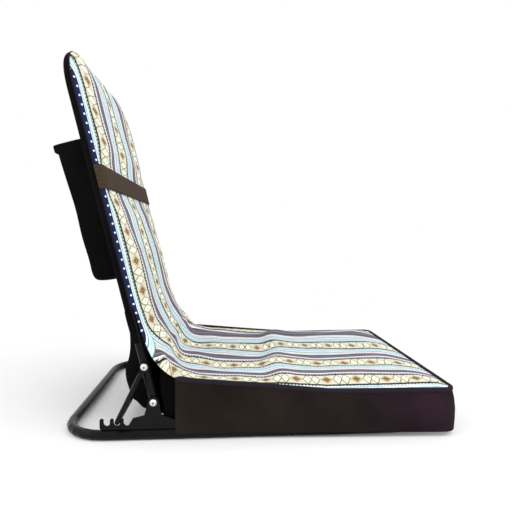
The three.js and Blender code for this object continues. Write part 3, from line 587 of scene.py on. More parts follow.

# %% [markdown]
# ## Plain black cloth
# The side band, the rear and the pocket are woven black polyester. Its threads are fine, so it
# looks matt, with a faint purple and brown cast that changes in wide patches. They are drawn
# coarser here, to show. Loose fibres trap the light between them, so the gloss is set far below
# that of a smooth surface; otherwise the white tent would turn the black to grey. The seam cords
# are the same cloth rolled round a string, and the thick one on the seat shows the most purple.
# The cloth of the rear, the pocket, the underside and the bend is set much darker than the band:
# partly its own deep black, partly painted shade.

# %% Black cloths
NOISE_SPREAD = (0.2, 0.8)  # nearly all of a noise lies between these
PATCHES_PER_METRE = 9.0
CASTS_PER_METRE = 6.0
WEAVE_SHARE = 0.35
CLOTH_ROUGHNESS = (0.72, 0.95)


def plain_cloth(name, dark, light, other_light, thread, height, shine):
    """Black cloth with a cast that wanders between two light colours."""
    tree = new_tree(name)
    across, _, _, stored = cloth_places(tree)
    weave = add(tree, "ShaderNodeVectorMath", stored, (1 / thread, 1 / thread, 1),
                operation="MULTIPLY")
    weave = add(tree, "ShaderNodeTexNoise", weave, None, 1.0, 2.0)
    patches = add(tree, "ShaderNodeTexNoise", stored, None, PATCHES_PER_METRE, 5.0)
    shade = add(tree, MATH, weave, WEAVE_SHARE, patches, operation="MULTIPLY_ADD")
    shade = add(tree, "ShaderNodeMapRange", shade, 0.4, 0.95)
    colour = ramp(tree, shade, ((0.0, dark), (1.0, light)), "LINEAR")
    other = ramp(tree, shade, ((0.0, dark), (1.0, other_light)), "LINEAR")
    far = add(tree, MATH, across, operation="ABSOLUTE")
    cast = add(tree, "ShaderNodeTexNoise", stored, None, CASTS_PER_METRE, 2.0)
    cast = add(tree, MATH, cast, 0.5, far, operation="MULTIPLY_ADD")
    cast = add(tree, "ShaderNodeMapRange", cast, 0.55, 0.8)
    colour = masked(tree, cast, colour, other)
    rough = add(tree, "ShaderNodeMapRange", weave, *NOISE_SPREAD, *CLOTH_ROUGHNESS)
    return finish(name, colour, weave, height, Roughness=rough, Specular_IOR_Level=shine)


band_cloth = plain_cloth("black_band_cloth", "#0f0a0c", "#30202a", "#2a241c", 1.8 * MM,
                         0.5 * MM, 0.08)
# The same black cloth, set much darker than the band: partly its own black, partly painted shade on
# the rear, the pocket, the underside and the bend.
rear_cloth_painted_shade = plain_cloth("black_rear_cloth", "#070606", "#121010", "#13110f", 1.4 * MM,
                         0.3 * MM, 0.03)
cord_cloth = plain_cloth("black_seam_cord", "#0d0c10", "#26232a", "#28211f", 1.0 * MM,
                         0.3 * MM, 0.08)
seat_cord_cloth = plain_cloth("purple_black_seam_cord", "#131015", "#302932", "#2c2524",
                              1.0 * MM, 0.3 * MM, 0.1)
print("Black cloths:", [kind.name for kind in (band_cloth, rear_cloth_painted_shade, cord_cloth,
                                               seat_cord_cloth)])

# %% [markdown]
# ## Webbing, paint and zinc
# The strap is ribbed elastic, a dull brown with a fibre fuzz between its ribs, and its grooves are
# painted darker as shade. The tube, plates and stays have a black powder coat, which is baked on
# and smooth with a fine orange peel; its gloss level is low too, so that it stays black under the
# white tent and keeps a soft sheen. The rivets are bright zinc, cold headed, with a small dimple at
# the centre that is painted dark as shade.

# %% Webbing and paint
RIB_PITCH = 2.4 * MM
RIB_PAINTED_SHADE = 0.05
RIB_RELIEF = 0.2
FUZZ_PER_METRE = 400.0
PEEL_PER_METRE = 900.0
DUST_PER_METRE = 35.0
PAINT_ROUGHNESS = (0.18, 0.34)


def webbing():
    """Brown elastic with ribs across its length, painted darker in the grooves between them as
    shade.
    """
    tree = new_tree("ribbed_elastic")
    _, along, _, stored = cloth_places(tree)
    rib = add(tree, MATH, along, 2 * math.pi / RIB_PITCH, operation="MULTIPLY")
    rib = add(tree, MATH, rib, operation="SINE")
    fuzz = add(tree, "ShaderNodeTexNoise", stored, None, FUZZ_PER_METRE, 4.0)
    # The ribs darken the colour in their grooves and lighten it on their tops: painted shade.
    shade = add(tree, MATH, rib, RIB_PAINTED_SHADE, fuzz, operation="MULTIPLY_ADD")
    colour = ramp(tree, shade, ((0.3, "#2c241d"), (0.72, "#504235")), "LINEAR")
    height = add(tree, MATH, rib, RIB_RELIEF, fuzz, operation="MULTIPLY_ADD")
    return finish("ribbed_elastic", colour, height, 0.2 * MM, Roughness=0.85,
                  Specular_IOR_Level=0.08)


def black_paint():
    """Powder coat with a fine orange peel and a little dust."""
    tree = new_tree("black_powder_coat")
    place = add(tree, "ShaderNodeTexCoord", out="Object")
    peel = add(tree, "ShaderNodeTexNoise", place, None, PEEL_PER_METRE, 2.0)
    dust = add(tree, "ShaderNodeTexNoise", place, None, DUST_PER_METRE, 6.0)
    colour = ramp(tree, dust, ((0.35, "#050405"), (0.75, "#0d0c0d")), "LINEAR")
    rough = add(tree, "ShaderNodeMapRange", dust, 0.3, 0.8, *PAINT_ROUGHNESS)
    return finish("black_powder_coat", colour, peel, 0.08 * MM, Roughness=rough,
                  Specular_IOR_Level=0.15)


elastic = webbing()
paint = black_paint()
print("Ribs come every", round(RIB_PITCH / MM, 1), "mm")

# %% Zinc
DIMPLE_FLOOR = 1.2 * MM
DIMPLE_RIM = 2.2 * MM
GRAINS_PER_METRE = 1500.0
ZINC_ROUGHNESS = (0.3, 0.5)
STAY_PIVOT_UP = 57.9 * MM


def zinc(name, centre):
    """Bright zinc, painted dark in a small round hollow on the axis through this centre, as shade.
    """
    tree = new_tree(name)
    place = add(tree, "ShaderNodeTexCoord", out="Object")
    off = add(tree, "ShaderNodeVectorMath", place, (0, centre[1], centre[2]),
              operation="SUBTRACT")
    off = add(tree, "ShaderNodeVectorMath", off, (0, 1, 1), operation="MULTIPLY")
    off = add(tree, "ShaderNodeVectorMath", off, operation="LENGTH", out="Value")
    grain = add(tree, "ShaderNodeTexNoise", place, None, GRAINS_PER_METRE, 3.0)
    dimple_and_shade = add(tree, "ShaderNodeMapRange", off, DIMPLE_FLOOR, DIMPLE_RIM)
    # The hollow on the axis is painted dark here: painted shade, while the same ramp also dips the
    # bump.
    colour = ramp(tree, dimple_and_shade, ((0.0, "#55555a"), (0.9, "#e6e6ea")), "LINEAR")
    height = add(tree, MATH, dimple_and_shade, 1.0, grain, operation="MULTIPLY_ADD")
    rough = add(tree, "ShaderNodeMapRange", grain, *NOISE_SPREAD, *ZINC_ROUGHNESS)
    return finish(name, colour, height, 0.15 * MM, Metallic=0.9, Roughness=rough)


bright = zinc("zinc_lower_rivet", hinge)
bright_top = zinc("zinc_upper_rivet", on_back(0, STAY_PIVOT_UP, 0))
print("Materials:", [kind.name for kind in bpy.data.materials])

# %% [markdown]
# ## The striped cover
# On the real chair one length of jacquard cloth runs from the front seam of the seat through the
# bend and over the top of the back. It is sewn to the side band and stuffed with foam, so it
# starts low at the seam and rises to a crown. A cloth simulation could blow it up, but its seams
# would drift from the band and the cord, and the stripes with them. So it is one grid whose rows
# are worked out: rows for the seat, rows round the bend, and rows up the back that wrap over the
# tube.

# %% Path round the bend
ROW_STEP = 8 * MM
BEND_RADIUS = 57 * MM
BEND_HALF = BACK_HALF + TUBE_RADIUS - GAP
BEND_RIM = CLOTH_RADIUS - TUBE_RADIUS + GAP
SEAM_MARGIN = CLOTH_RADIUS - math.sqrt(CLOTH_RADIUS ** 2 - SEAM_OFFSET ** 2)


def steps_between(start, end):
    """Even places from start to end, about a row's step apart, without the first."""
    count = round(np.linalg.norm(end - start) / ROW_STEP)
    return [start + (end - start) * share for share in np.linspace(0, 1, count + 1)[1:]]


def bend_stops():
    """Places (behind the hinge, height) from the seat to the back, with the headings there."""
    seat_end = np.array([-SEAT_SPLIT, seam_height(SEAT_SPLIT)])
    slope = unit(np.array([SEAT_SPLIT - SEAT_REAR, REAR_HEIGHT - seam_height(SEAT_SPLIT)]))
    across_slope = np.array([-slope[1], slope[0]])
    back_end = np.array(on_back(0, COVER_START, -CLOTH_RADIUS))[1:] - [hinge.y, 0]
    rise = np.array([math.sin(LEAN), math.cos(LEAN)])
    run, _ = np.linalg.solve(np.stack([slope, rise], axis=1), back_end - seat_end)
    corner = seat_end + slope * run
    turn = math.acos(float(slope @ rise))
    tangent = BEND_RADIUS * math.tan(turn / 2)
    leave = corner - slope * tangent
    centre = leave + BEND_RADIUS * across_slope
    arrive = corner + rise * tangent
    stops = [(place, slope) for place in steps_between(seat_end, leave)]
    for share in np.linspace(0, 1, round(BEND_RADIUS * turn / ROW_STEP) + 1)[1:]:
        angle = turn * share
        heading = slope * math.cos(angle) + across_slope * math.sin(angle)
        outwards = np.array([heading[1], -heading[0]])
        stops.append((centre + outwards * BEND_RADIUS, heading))
    return stops + [(place, rise) for place in steps_between(arrive, back_end)]


bend_path = bend_stops()
print("The bend has", len(bend_path), "rows")

# %% One row of each kind
def seat_row(from_end):
    """A row across the seat, at a distance from its front edge."""
    x = columns_for(half_width(from_end, SEAT_HALF, SEAT_CORNER))
    reach = SEAT_FRONT - from_end
    inset = inset_of(x, from_end, SEAT_HALF, SEAT_CORNER)
    crown = seat_crown(reach) * shoulder(inset, SEAT_SHOULDER)
    return from_hinge(x, reach, seam_height(reach) + crown)


def bend_row(stop, heading):
    """A row across the bend, wide and crowned near the seat and wrapped near the back."""
    on_seat = np.clip((-stop[0] - SEAT_REAR) / (SEAT_SPLIT - SEAT_REAR), 0, 1)
    half = BEND_HALF + (SEAT_HALF - BEND_HALF) * math.sqrt(on_seat)
    x = columns_for(half)
    inset = half - np.abs(x)
    crown = seat_crown(-stop[0]) * shoulder(inset, SEAT_SHOULDER) * (on_seat > 0)
    lift = crown - (1 - on_seat) * (CLOTH_RADIUS - on_tube(inset + BEND_RIM))
    return from_hinge(x, -(stop[0] - heading[1] * lift), stop[1] + heading[0] * lift)


def back_row(from_end):
    """A row across the front of the back. It ends at the seam, a little in front of the tubes."""
    half = half_width(from_end - SEAM_MARGIN, BACK_HALF + CLOTH_RADIUS - SEAM_MARGIN,
                      TOP_RADIUS - SEAM_MARGIN)
    x = columns_for(half)
    up = BACK_TOP + CLOTH_RADIUS - from_end
    return on_back(x, up, -np.maximum(back_standoff(x, up, BACK_CROWN), SEAM_OFFSET))


def ends_from(edge, corner, length):
    """Distances from an end: close together at the edge and round the corner, then even."""
    turn = np.linspace(0, math.pi / 2, WRAP_STEPS + 1)
    near = edge * (1 - np.cos(turn))
    bend = np.linspace(edge, corner, round((corner - edge) / ROW_STEP * 2) + 1)[1:]
    rest = np.linspace(corner, length, round((length - corner) / ROW_STEP) + 1)[1:]
    return np.concatenate([near, bend, rest])

# %% All rows of the cover
CLOSE_ROWS = 4 * MM

seat_ends = ends_from(CLOSE_ROWS, SEAT_CORNER, SEAT_FRONT - SEAT_SPLIT)
seat_rows = [seat_row(end) for end in seat_ends]
bend_rows = [bend_row(stop, heading) for stop, heading in bend_path]
corner_row = int(np.argmin([abs(heading[0] - heading[1]) for _, heading in bend_path]))
back_ends = ends_from(CLOTH_RADIUS, TOP_RADIUS, BACK_TOP + CLOTH_RADIUS - COVER_START)
back_rows = [back_row(max(end, SEAM_MARGIN)) for end in back_ends[:-1]][::-1]
cover = np.array(seat_rows + bend_rows + back_rows)
print("Cover rows:", len(seat_rows), "on the seat,", len(bend_rows), "in the bend,",
      len(back_rows), "on the back")

# %% [markdown]
# ## Where the stripes lie
# The woven pattern has one row of diamonds in each repeat, and on the chair these rows lie closer
# together at the near edge of the seat than in its middle. The cloth was cut a little askew: at the
# near edge of the back a plain border of navy with white dots and a pale blue stripe shows, and
# through the bend that border slides off the edge until the seat shows only diamond rows. Beyond
# the fourth row the order of the stripes turns round, and a broad grey stripe follows near the far
# edge. Each point of the cover stores its place in the pattern, so the material needs no other
# guide.

# %% Pattern places on the cover
ROW_NUMBERS = np.array([0, 1, 2, 3, 3.5, 3.73, 4, 5])
ROWS_ON_SEAT = np.array([-280, -197, -116, 22, 104, 180, 228, 330]) * MM
ROWS_ON_BACK = np.array([-390, -290, -165, -23, 58, 102, 142, 250]) * MM
MIRROR_ROW = 3  # the fourth row, counted from 0
BORDER_ON_BACK = -195 * MM
BORDER_SLIDE = 45 * MM
SLIDE_BEFORE = 110 * MM
SLIDE_AFTER = -30 * MM

cloth = measures(cover)
across = cloth[..., 0]
along = cloth[..., 1]
bend_from = along[len(seat_rows) - 1, 0]
bend_to = along[len(seat_rows) + len(bend_rows) - 1, 0]
back_share = smooth(along, bend_from + SLIDE_BEFORE, bend_to + SLIDE_AFTER)
pattern = (1 - back_share) * np.interp(across, ROWS_ON_SEAT, ROW_NUMBERS)
pattern += back_share * np.interp(across, ROWS_ON_BACK, ROW_NUMBERS)
pattern = MIRROR_ROW - np.abs(pattern - MIRROR_ROW)
border = across - (BORDER_ON_BACK - BORDER_SLIDE * (1 - back_share))
pattern_places = np.stack([pattern * REPEAT, along, border], axis=-1)
print("The bend lies", round(bend_from, 3), "to", round(bend_to, 3), "m from the front seam")

# %% [markdown]
# ## Soft life in the cover
# Foam and cloth are never quite even. A low step crosses the seat, with a ridge along its top and a
# shallow valley behind it. The corner of the bend is stuffed fuller than a plain round, and the
# cloth gathers in small folds there. The elastic strap presses a flat band across the back, and
# puckers follow the stitched seam of the seat. Sculpting could give all this, but not the same way
# twice. Formulas move each point along the surface's own normal instead.

# %% Normals, and distance from the seams
CALM_EDGE = 40 * MM


def normals_of(grid):
    """Unit normals of a grid, on the side that faces the sitter."""
    return unit(np.cross(np.gradient(grid, axis=1), np.gradient(grid, axis=0)))


edge_far = np.abs(across[:, -1:]) - np.abs(across)
inside = smooth(edge_far, 0, CALM_EDGE) * smooth(along, 0, CALM_EDGE)
bend_middle = along[len(seat_rows) + corner_row, 0]
print("The corner of the bend is", round(float(bend_middle), 3), "m from the front seam")

# %% Step across the seat
STEP_DOWN = 7.5 * MM
STEP_WIDTH = 34 * MM
STEP_FORWARD = 8 * MM
STEP_NEAR = from_hinge(-200 * MM, 178 * MM, 0)
STEP_FAR = from_hinge(205 * MM, 205 * MM, 0)
STEP_WAVES = ((0.2, 9.0, 5 * MM, 1.2), (0.09, 9.0, 2 * MM, 0.2))
STEP_FADE_FROM = 75 * MM
STEP_FADE_TO = 30 * MM
RIDGE_HEIGHT = 2.5 * MM
RIDGE_WIDTH = 20 * MM
VALLEY_END = 125 * MM
VALLEY_RISE = 0.5

step_line = unit(STEP_FAR - STEP_NEAR)
from_step = cover - STEP_NEAR
behind = from_step[..., 1] * step_line[0] - from_step[..., 0] * step_line[1]
behind += STEP_FORWARD + ripple(across, along, STEP_WAVES)
lowered = smooth(behind, -STEP_WIDTH / 2, STEP_WIDTH / 2)
lowered = lowered * (1 - VALLEY_RISE * smooth(behind, STEP_WIDTH, VALLEY_END))
lowered = lowered * (1 - smooth(along, bend_middle - STEP_FADE_FROM, bend_middle - STEP_FADE_TO))
push = RIDGE_HEIGHT * bump_at(behind, -STEP_WIDTH / 2, RIDGE_WIDTH) - STEP_DOWN * lowered
push = push * inside
print("The step drops", STEP_DOWN / MM, "mm over", STEP_WIDTH / MM, "mm")

# %% Full corner and folds of the bend
CORNER_PLACES = np.array([-70, -45, -25, -8, 10, 25, 45, 70, 110, 170, 240]) * MM
MIDDLE_FILL = np.array([0, 2, 9, 17, 23, 25, 21, 15, 10, 5, 0]) * MM
EDGE_FILL = np.array([0, 4, 12, 19, 20, 16, 10, 4, 1, 0, 0]) * MM
FILL_FROM_EDGE = 90 * MM
FOLD_HEIGHT = 3.2 * MM
FOLD_SHIFT = 10 * MM
FOLD_REACH = 85 * MM
FOLD_WAVES = (
    (0.31, 0.9, 0.55, 0.4), (0.127, -0.6, 0.35, 1.9), (0.9, 0.083, 0.5, 2.6),
    (-0.24, 0.061, 0.4, 0.7), (0.052, -0.13, 0.22, 1.0), (-0.07, 0.1, 0.2, 2.0),
)

from_corner = along - bend_middle
edge_fill = np.interp(from_corner, CORNER_PLACES, EDGE_FILL)
middle_fill = np.interp(from_corner, CORNER_PLACES, MIDDLE_FILL)
push += edge_fill + (middle_fill - edge_fill) * smooth(edge_far, 0, FILL_FROM_EDGE)
in_bend = bump_at(along, (bend_from + bend_to) / 2 + FOLD_SHIFT, FOLD_REACH)
push += FOLD_HEIGHT * in_bend * inside * ripple(across, along, FOLD_WAVES)
print("The corner is filled by up to", round(float(MIDDLE_FILL.max()) / MM), "mm")

# %% Soft waves, the strap's press and puckers
SOFT_WAVES = (
    (0.23, 0.17, 0.6, 0.3), (-0.15, 0.21, 0.45, 2.1), (0.09, 0.31, 0.25, 4.0),
    (-0.062, 0.085, 0.16, 1.1), (0.047, 0.19, 0.14, 3.3),
)
SOFT_HEIGHT = 1.3 * MM
STRAP_LOW = 341 * MM
STRAP_HIGH = 379 * MM
STRAP_PRESS = 6 * MM
STRAP_SOFT = 45 * MM
STRAP_CALM = 0.7  # share of the waves that the strap smooths out
PRESS_WIDTH = 20 * MM
PUCKER_HEIGHT = 0.8 * MM
PUCKER_LENGTH = 21 * MM
PUCKER_INSET = 10 * MM
PUCKER_WIDTH = 8 * MM

up_back = along - bend_to + COVER_START
in_strap = smooth(up_back, STRAP_LOW - STRAP_SOFT, STRAP_LOW)
in_strap *= 1 - smooth(up_back, STRAP_HIGH, STRAP_HIGH + STRAP_SOFT)
push += SOFT_HEIGHT * inside * (1 - STRAP_CALM * in_strap) * ripple(across, along, SOFT_WAVES)
push -= STRAP_PRESS * in_strap * smooth(edge_far, CLOTH_RADIUS, CLOTH_RADIUS + PRESS_WIDTH)
pucker = bump_at(edge_far, PUCKER_INSET, PUCKER_WIDTH) * np.sin(2 * math.pi * along / PUCKER_LENGTH)
push += PUCKER_HEIGHT * pucker * (1 - smooth(along, bend_from, bend_to))
print("The strap crosses", round(STRAP_LOW / MM), "to", round(STRAP_HIGH / MM), "mm up the back")

# %% Move the points
plain_line = cover[:, 0].copy()
plain_line[:, 0] = 0
line_normal = normals_of(cover)[:, cover.shape[1] // 2]
line_fill = edge_fill[:, 0]
cover = cover + normals_of(cover) * push[..., None]
print("The cover moves", round(float(push.min()) * 1000, 1), "to",
      round(float(push.max()) * 1000, 1), "mm off its plain form")

# %% Make the cover
BLEND_AHEAD = 75 * MM
BLEND_HEIGHT = 85 * MM
BLEND_UP = 140 * MM
bend_start = from_hinge(0, BLEND_AHEAD, BLEND_HEIGHT)
bend_end = on_back(0, BLEND_UP, 0)


def follow_fold(piece):
    """Bakes the piece's place in the world into its mesh."""
    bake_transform(piece)


striped = skin("striped_cover", cover, jacquard, pattern_places)
follow_fold(striped)
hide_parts("seat_top_cover", "bend_cover", "back_front_cover", "seat_foam", "bend_pad",
            "back_foam")
print("The cover has", len(striped.data.vertices), "points before it is smoothed")

# %% [markdown]
# ## Side band, seam cord and underside of the seat
# The band is a strip of black cloth sewn to the cover at the top and pulled over the foam, so it
# bellies out halfway down and draws in again at its hem, with a few slanting creases near its rear
# end. A stuffed cord hides the seam. Band and cord are both swept along one line round the seat,
# which keeps the cord on the seam. The underside is a flat sheet between the tubes.

# %% Line round the seat
BAND_STEP = 6 * MM
CORNER_STEPS = 10


def round_run(corners, radius, step):
    """Stops along a path of straight runs with round corners."""
    corners = [np.array(corner, dtype=float) for corner in corners]
    stops = []
    start = corners[0]
    for before, corner, after in zip(corners, corners[1:], corners[2:]):
        into = unit(corner - before)
        out_of = unit(after - corner)
        leave = corner - into * radius
        arrive = corner + out_of * radius
        count = max(round(float(np.linalg.norm(leave - start)) / step), 1)
        stops += [start + (leave - start) * k / count for k in range(count)]
        centre = leave + out_of * radius
        for angle in np.linspace(0, math.pi / 2, CORNER_STEPS, endpoint=False):
            stops.append(centre + radius * (into * math.sin(angle) - out_of * math.cos(angle)))
        start = arrive
    count = max(round(float(np.linalg.norm(corners[-1] - start)) / step), 1)
    stops += [start + (corners[-1] - start) * k / count for k in range(count + 1)]
    return np.array(stops)


seat_line = round_run(
    [(-SEAT_HALF, -SEAT_REAR), (-SEAT_HALF, -SEAT_FRONT), (SEAT_HALF, -SEAT_FRONT),
     (SEAT_HALF, -SEAT_REAR)], SEAT_CORNER, BAND_STEP)
heading = unit(np.gradient(seat_line, axis=0))
outward = np.stack([heading[:, 1], -heading[:, 0]], axis=1)
reach = -seat_line[:, 1]
seam = seam_height(reach)
run = running_length(seat_line)
print("The line round the seat is", round(float(run[-1]), 3), "m long")

# %% Side band
BAND_SIDE = 4.3 * MM
BAND_FRONT = 7 * MM
BAND_SHARES = (0.74, 0.96, 1, 0.72, 0.16)
BAND_ROWS = 17
BAND_SOFT = 1.3 * MM
SKIRT_REAR = 10 * MM
SKIRT_FRONT = 8 * MM
BAND_WAVES = (
    (0.19, 9, 0.5, 0.8), (0.083, 0.35, 0.35, 2.2), (0.047, -0.2, 0.3, 0.5),
    (0.031, 0.3, 0.12, 1.5),
)
CREASES = (
    (38 * MM, 10 * MM, 4 * MM),
    (66 * MM, 8 * MM, 3.2 * MM),
    (112 * MM, 12 * MM, 2.2 * MM),
)
CREASE_HEIGHT = 50 * MM  # a crease stands at its own place at this height, and leans
CREASE_LEAN = 0.5
CREASE_ENDS = 1.6

belly = BAND_SIDE + (BAND_FRONT - BAND_SIDE) * outward[:, 1] ** 2
skirt = SKIRT_REAR + (SKIRT_FRONT - SKIRT_REAR) * (reach - SEAT_REAR) / (SEAT_FRONT - SEAT_REAR)
band_rows = []
for level in np.linspace(1, 0, BAND_ROWS):
    bulge = belly * np.interp(level, np.linspace(0, 1, len(BAND_SHARES)), BAND_SHARES)
    height = skirt + (seam - skirt) * level
    wave = BAND_SOFT * ripple(run, height, BAND_WAVES) * math.sin(math.pi * level)
    for place, width, deep in CREASES:
        slant = run - place - (height - CREASE_HEIGHT) * CREASE_LEAN
        fade = math.sin(math.pi * min(level * CREASE_ENDS, 1))
        wave -= deep * bump_at(slant, 0, width) * fade
    spot = seat_line + outward * (bulge + wave)[:, None]
    band_rows.append(from_hinge(spot[:, 0], -spot[:, 1], height))
band = skin("seat_side_band", np.array(band_rows), band_cloth)
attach(band, "base")
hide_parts("seat_boxing")
print("The band has", len(CREASES), "creases near its rear end")

# %% Seam cord
CORD_RADIUS = 4.2 * MM


def seam_cord(name, path, radius, kind, body, *nodes):
    """A round cord along a seam. It is sewn down, so it is no free cord."""
    curve = bpy.data.curves.new(name, "CURVE")
    curve.dimensions = "3D"
    curve.bevel_depth = radius
    curve.bevel_resolution = 3
    curve.use_fill_caps = True
    spline = curve.splines.new("POLY")
    spline.points.add(len(path) - 1)
    for point, place in zip(spline.points, path):
        point.co = (*place, 1)
    curve.materials.append(kind)
    piece = in_scene(name, curve)
    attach(piece, body)
    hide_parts(*nodes)


seam_cord("seat_seam_cord", from_hinge(seat_line[:, 0], reach, seam), CORD_RADIUS,
          seat_cord_cloth, "base", "seat_piping")
print("The seat's cord is", round(2 * CORD_RADIUS / MM, 1), "mm thick")

# %% Underside
UNDERSIDE_HALF = 223 * MM
UNDERSIDE_REAR = 45 * MM
PLATE_FOOT = 16.3 * MM

underside_rows = []
for end in ends_from(CLOSE_ROWS, SEAT_CORNER, SEAT_FRONT - UNDERSIDE_REAR):
    x = columns_for(half_width(end, UNDERSIDE_HALF, SEAT_CORNER))
    underside_rows.append(from_hinge(x, SEAT_FRONT - end, PLATE_FOOT + CLOTH))
underside = skin("seat_underside_cloth", np.array(underside_rows), rear_cloth_painted_shade, levels=0)
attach(underside, "base")
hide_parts("seat_underside")
print("The underside has", len(underside_rows), "rows")

# %% [markdown]
# ## Black cloth behind the bend
# Behind the hinge the black cloth hangs slack so that the back can fold: it bellies out behind
# the tube and runs under the seat. Its middle line is a soft curve through a few knots, and its
# sides turn inwards. The sides of the bend are closed by two padded walls in front of the tube.
# Each wall starts as a copy of its plain solid, which has the right outline. It is remeshed and
# rounded over like stuffed cloth, and its upper edge follows the fuller corner of the cover.

# %% Belly
BELLY_DEPTH = 41 * MM
BELLY_HALF = 190 * MM
BELLY_LENGTH = 0.22
BELLY_FOLD = 30 * MM
BELLY_HEIGHTS = (1, 0.64, 0.48, 0.37, 0.25, 0.14, 0.04, -0.03, -0.12)
BELLY_DEPTHS = (0.23, 0.49, 0.69, 0.92, 1, 0.99, 0.97, 0.77, 0.54)
BELLY_ROWS = 44
BELLY_WAVES = (
    (0.21, 0.6, 0.5, 0.9), (0.11, -0.17, 0.35, 0.1), (-0.3, 0.07, 0.5, 2.2),
)
BELLY_SOFT = 2.2 * MM
KNOT_STEPS = 12


def smooth_path(knots, count):
    """A soft curve through the knots, as evenly spaced points."""
    knots = np.array(knots)
    padded = np.concatenate([[2 * knots[0] - knots[1]], knots, [2 * knots[-1] - knots[-2]]])
    fine = []
    for a, b, c, d in zip(padded, padded[1:], padded[2:], padded[3:]):
        for t in np.linspace(0, 1, KNOT_STEPS, endpoint=False):
            fine.append(0.5 * (2 * b + (c - a) * t + (2 * a - 5 * b + 4 * c - d) * t ** 2
                               + (3 * b - a - 3 * c + d) * t ** 3))
    fine = np.array([*fine, knots[-1]])
    length = running_length(fine)
    even = np.linspace(0, length[-1], count)
    return np.stack([np.interp(even, length, fine[:, k]) for k in range(3)], axis=1)


belly_knots = [from_hinge(0, UNDERSIDE_REAR, PLATE_FOOT + CLOTH)]
for height, depth in list(zip(BELLY_HEIGHTS, BELLY_DEPTHS))[::-1]:
    belly_knots.append(on_back(0, COVER_START * height, BELLY_DEPTH * depth))
belly_line = smooth_path(belly_knots, BELLY_ROWS)
rising = unit(np.gradient(belly_line, axis=0))
inwards = np.stack([rising[:, 0] * 0, -rising[:, 2], rising[:, 1]], axis=1)
sag = np.sin(np.linspace(0, math.pi, BELLY_ROWS))
x = columns_for(BELLY_HALF)
edge = np.maximum(1 - (BELLY_HALF - np.abs(x)) / CLOTH_RADIUS, 0)
along_belly = np.linspace(0, 1, BELLY_ROWS)[:, None] * BELLY_LENGTH
wrinkle = BELLY_SOFT * ripple(x[None, :], along_belly, BELLY_WAVES) * sag[:, None]
wrinkle *= smooth(BELLY_HALF - np.abs(x), 0, CALM_EDGE)[None, :]
lift = BELLY_FOLD * sag[:, None] * edge[None, :] ** 2 + np.maximum(wrinkle, -BELLY_SOFT)
grid = belly_line[:, None, :] + inwards[:, None, :] * lift[..., None]
grid[..., 0] = x[None, :]
belly_skin = skin("bend_rear_cloth", grid[:, ::-1], rear_cloth_painted_shade)
follow_fold(belly_skin)
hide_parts("bend_gusset")
print("The belly hangs", round(float(grid[..., 1].max() - hinge.y), 3), "m behind the hinge")

# %% Side walls of the bend
WALL_VOXEL = 3 * MM
WALL_STRETCH = 70 * MM

for label in ("left", "right"):
    wall = in_scene(f"bend_wall_{label}", frame["nodes"][f"bend_side_{label}"].data.copy())
    for name, kind, settings in (
        ("grain", "REMESH", {"mode": "VOXEL", "voxel_size": WALL_VOXEL}),
        ("round", "SMOOTH", {"factor": 0.5, "iterations": 5}),
    ):
        step = wall.modifiers.new(name, kind)
        for key, value in settings.items():
            setattr(step, key, value)
    depsgraph = bpy.context.evaluated_depsgraph_get()
    rounded = bpy.data.meshes.new_from_object(wall.evaluated_get(depsgraph))
    wall.modifiers.clear()
    wall.data = rounded
    rounded.materials.clear()
    rounded.materials.append(rear_cloth_painted_shade)
    rounded.shade_smooth()
    places = np.empty(len(rounded.vertices) * 3, dtype=np.float32)
    rounded.vertices.foreach_get("co", places)
    places = places.reshape(-1, 3)
    gap = np.linalg.norm(places[:, None, 1:] - plain_line[None, :, 1:], axis=2)
    nearest = gap.argmin(axis=1)
    share = np.clip(1 - gap.min(axis=1) / WALL_STRETCH, 0, 1)
    places = places + line_normal[nearest] * (line_fill[nearest] * share)[:, None]
    rounded.vertices.foreach_set("co", places.astype(np.float32).reshape(-1))
    places = places[:, [1, 2, 0]]
    layer = rounded.attributes.new("cloth", "FLOAT_VECTOR", "POINT")
    layer.data.foreach_set("vector", np.ascontiguousarray(places).reshape(-1))
    follow_fold(wall)
    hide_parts(f"bend_side_{label}")
    print(f"The {label} wall has", len(places), "points")

# %% [markdown]
# ## Rear of the back
# The rear cloth is pulled round the tubes and sewn to the striped cloth in front of them, with a
# thin cord in the seam. Below the seam's end a short sleeve of the same cloth still covers each
# tube. The rear cloth is a grid like the cover, with the same columns, so that both meet at the
# tubes. Its slack is only shallow waves, because it is stretched.

# %% Rear cloth
REAR_LIP = -1.2 * MM
REAR_SETTLE = 0.9
REAR_WAVES = (
    (0.27, 0.4, 0.5, 0.2), (-0.19, 0.23, 0.4, 1.2),
)
REAR_SOFT = 0.8 * MM

rear_rows = []
for end in back_ends:
    half = half_width(end, BACK_HALF + CLOTH_RADIUS, TOP_RADIUS)
    x = columns_for(half)
    up = BACK_TOP + CLOTH_RADIUS - end
    behind = back_standoff(x, up, 0)
    behind = np.where(behind < 1e-6, REAR_LIP, behind)
    settle = smooth(behind, CLOTH_RADIUS * REAR_SETTLE, CLOTH_RADIUS)
    settle = settle * smooth(half - np.abs(x), CLOTH_RADIUS, CALM_EDGE)
    behind = behind - REAR_SOFT * (1 + ripple(x, up, REAR_WAVES)) * settle
    rear_rows.append(on_back(x, up, behind))
rear_panel = skin("back_rear_cloth", np.array(rear_rows)[:, ::-1][::-1], rear_cloth_painted_shade)
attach(rear_panel, "backrest")
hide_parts("back_rear_panel")
print("The rear cloth has", len(rear_rows), "rows")

# %% Sleeves
SLEEVE_STEPS = 20
SLEEVE_ROWS = 9
SLEEVE_START = 97 * MM
SLEEVE_SLACK = 0.25 * MM
SLEEVE_FOLDS = 3  # folds round the tube, which turn as they run up it
SLEEVE_TWIST = 170

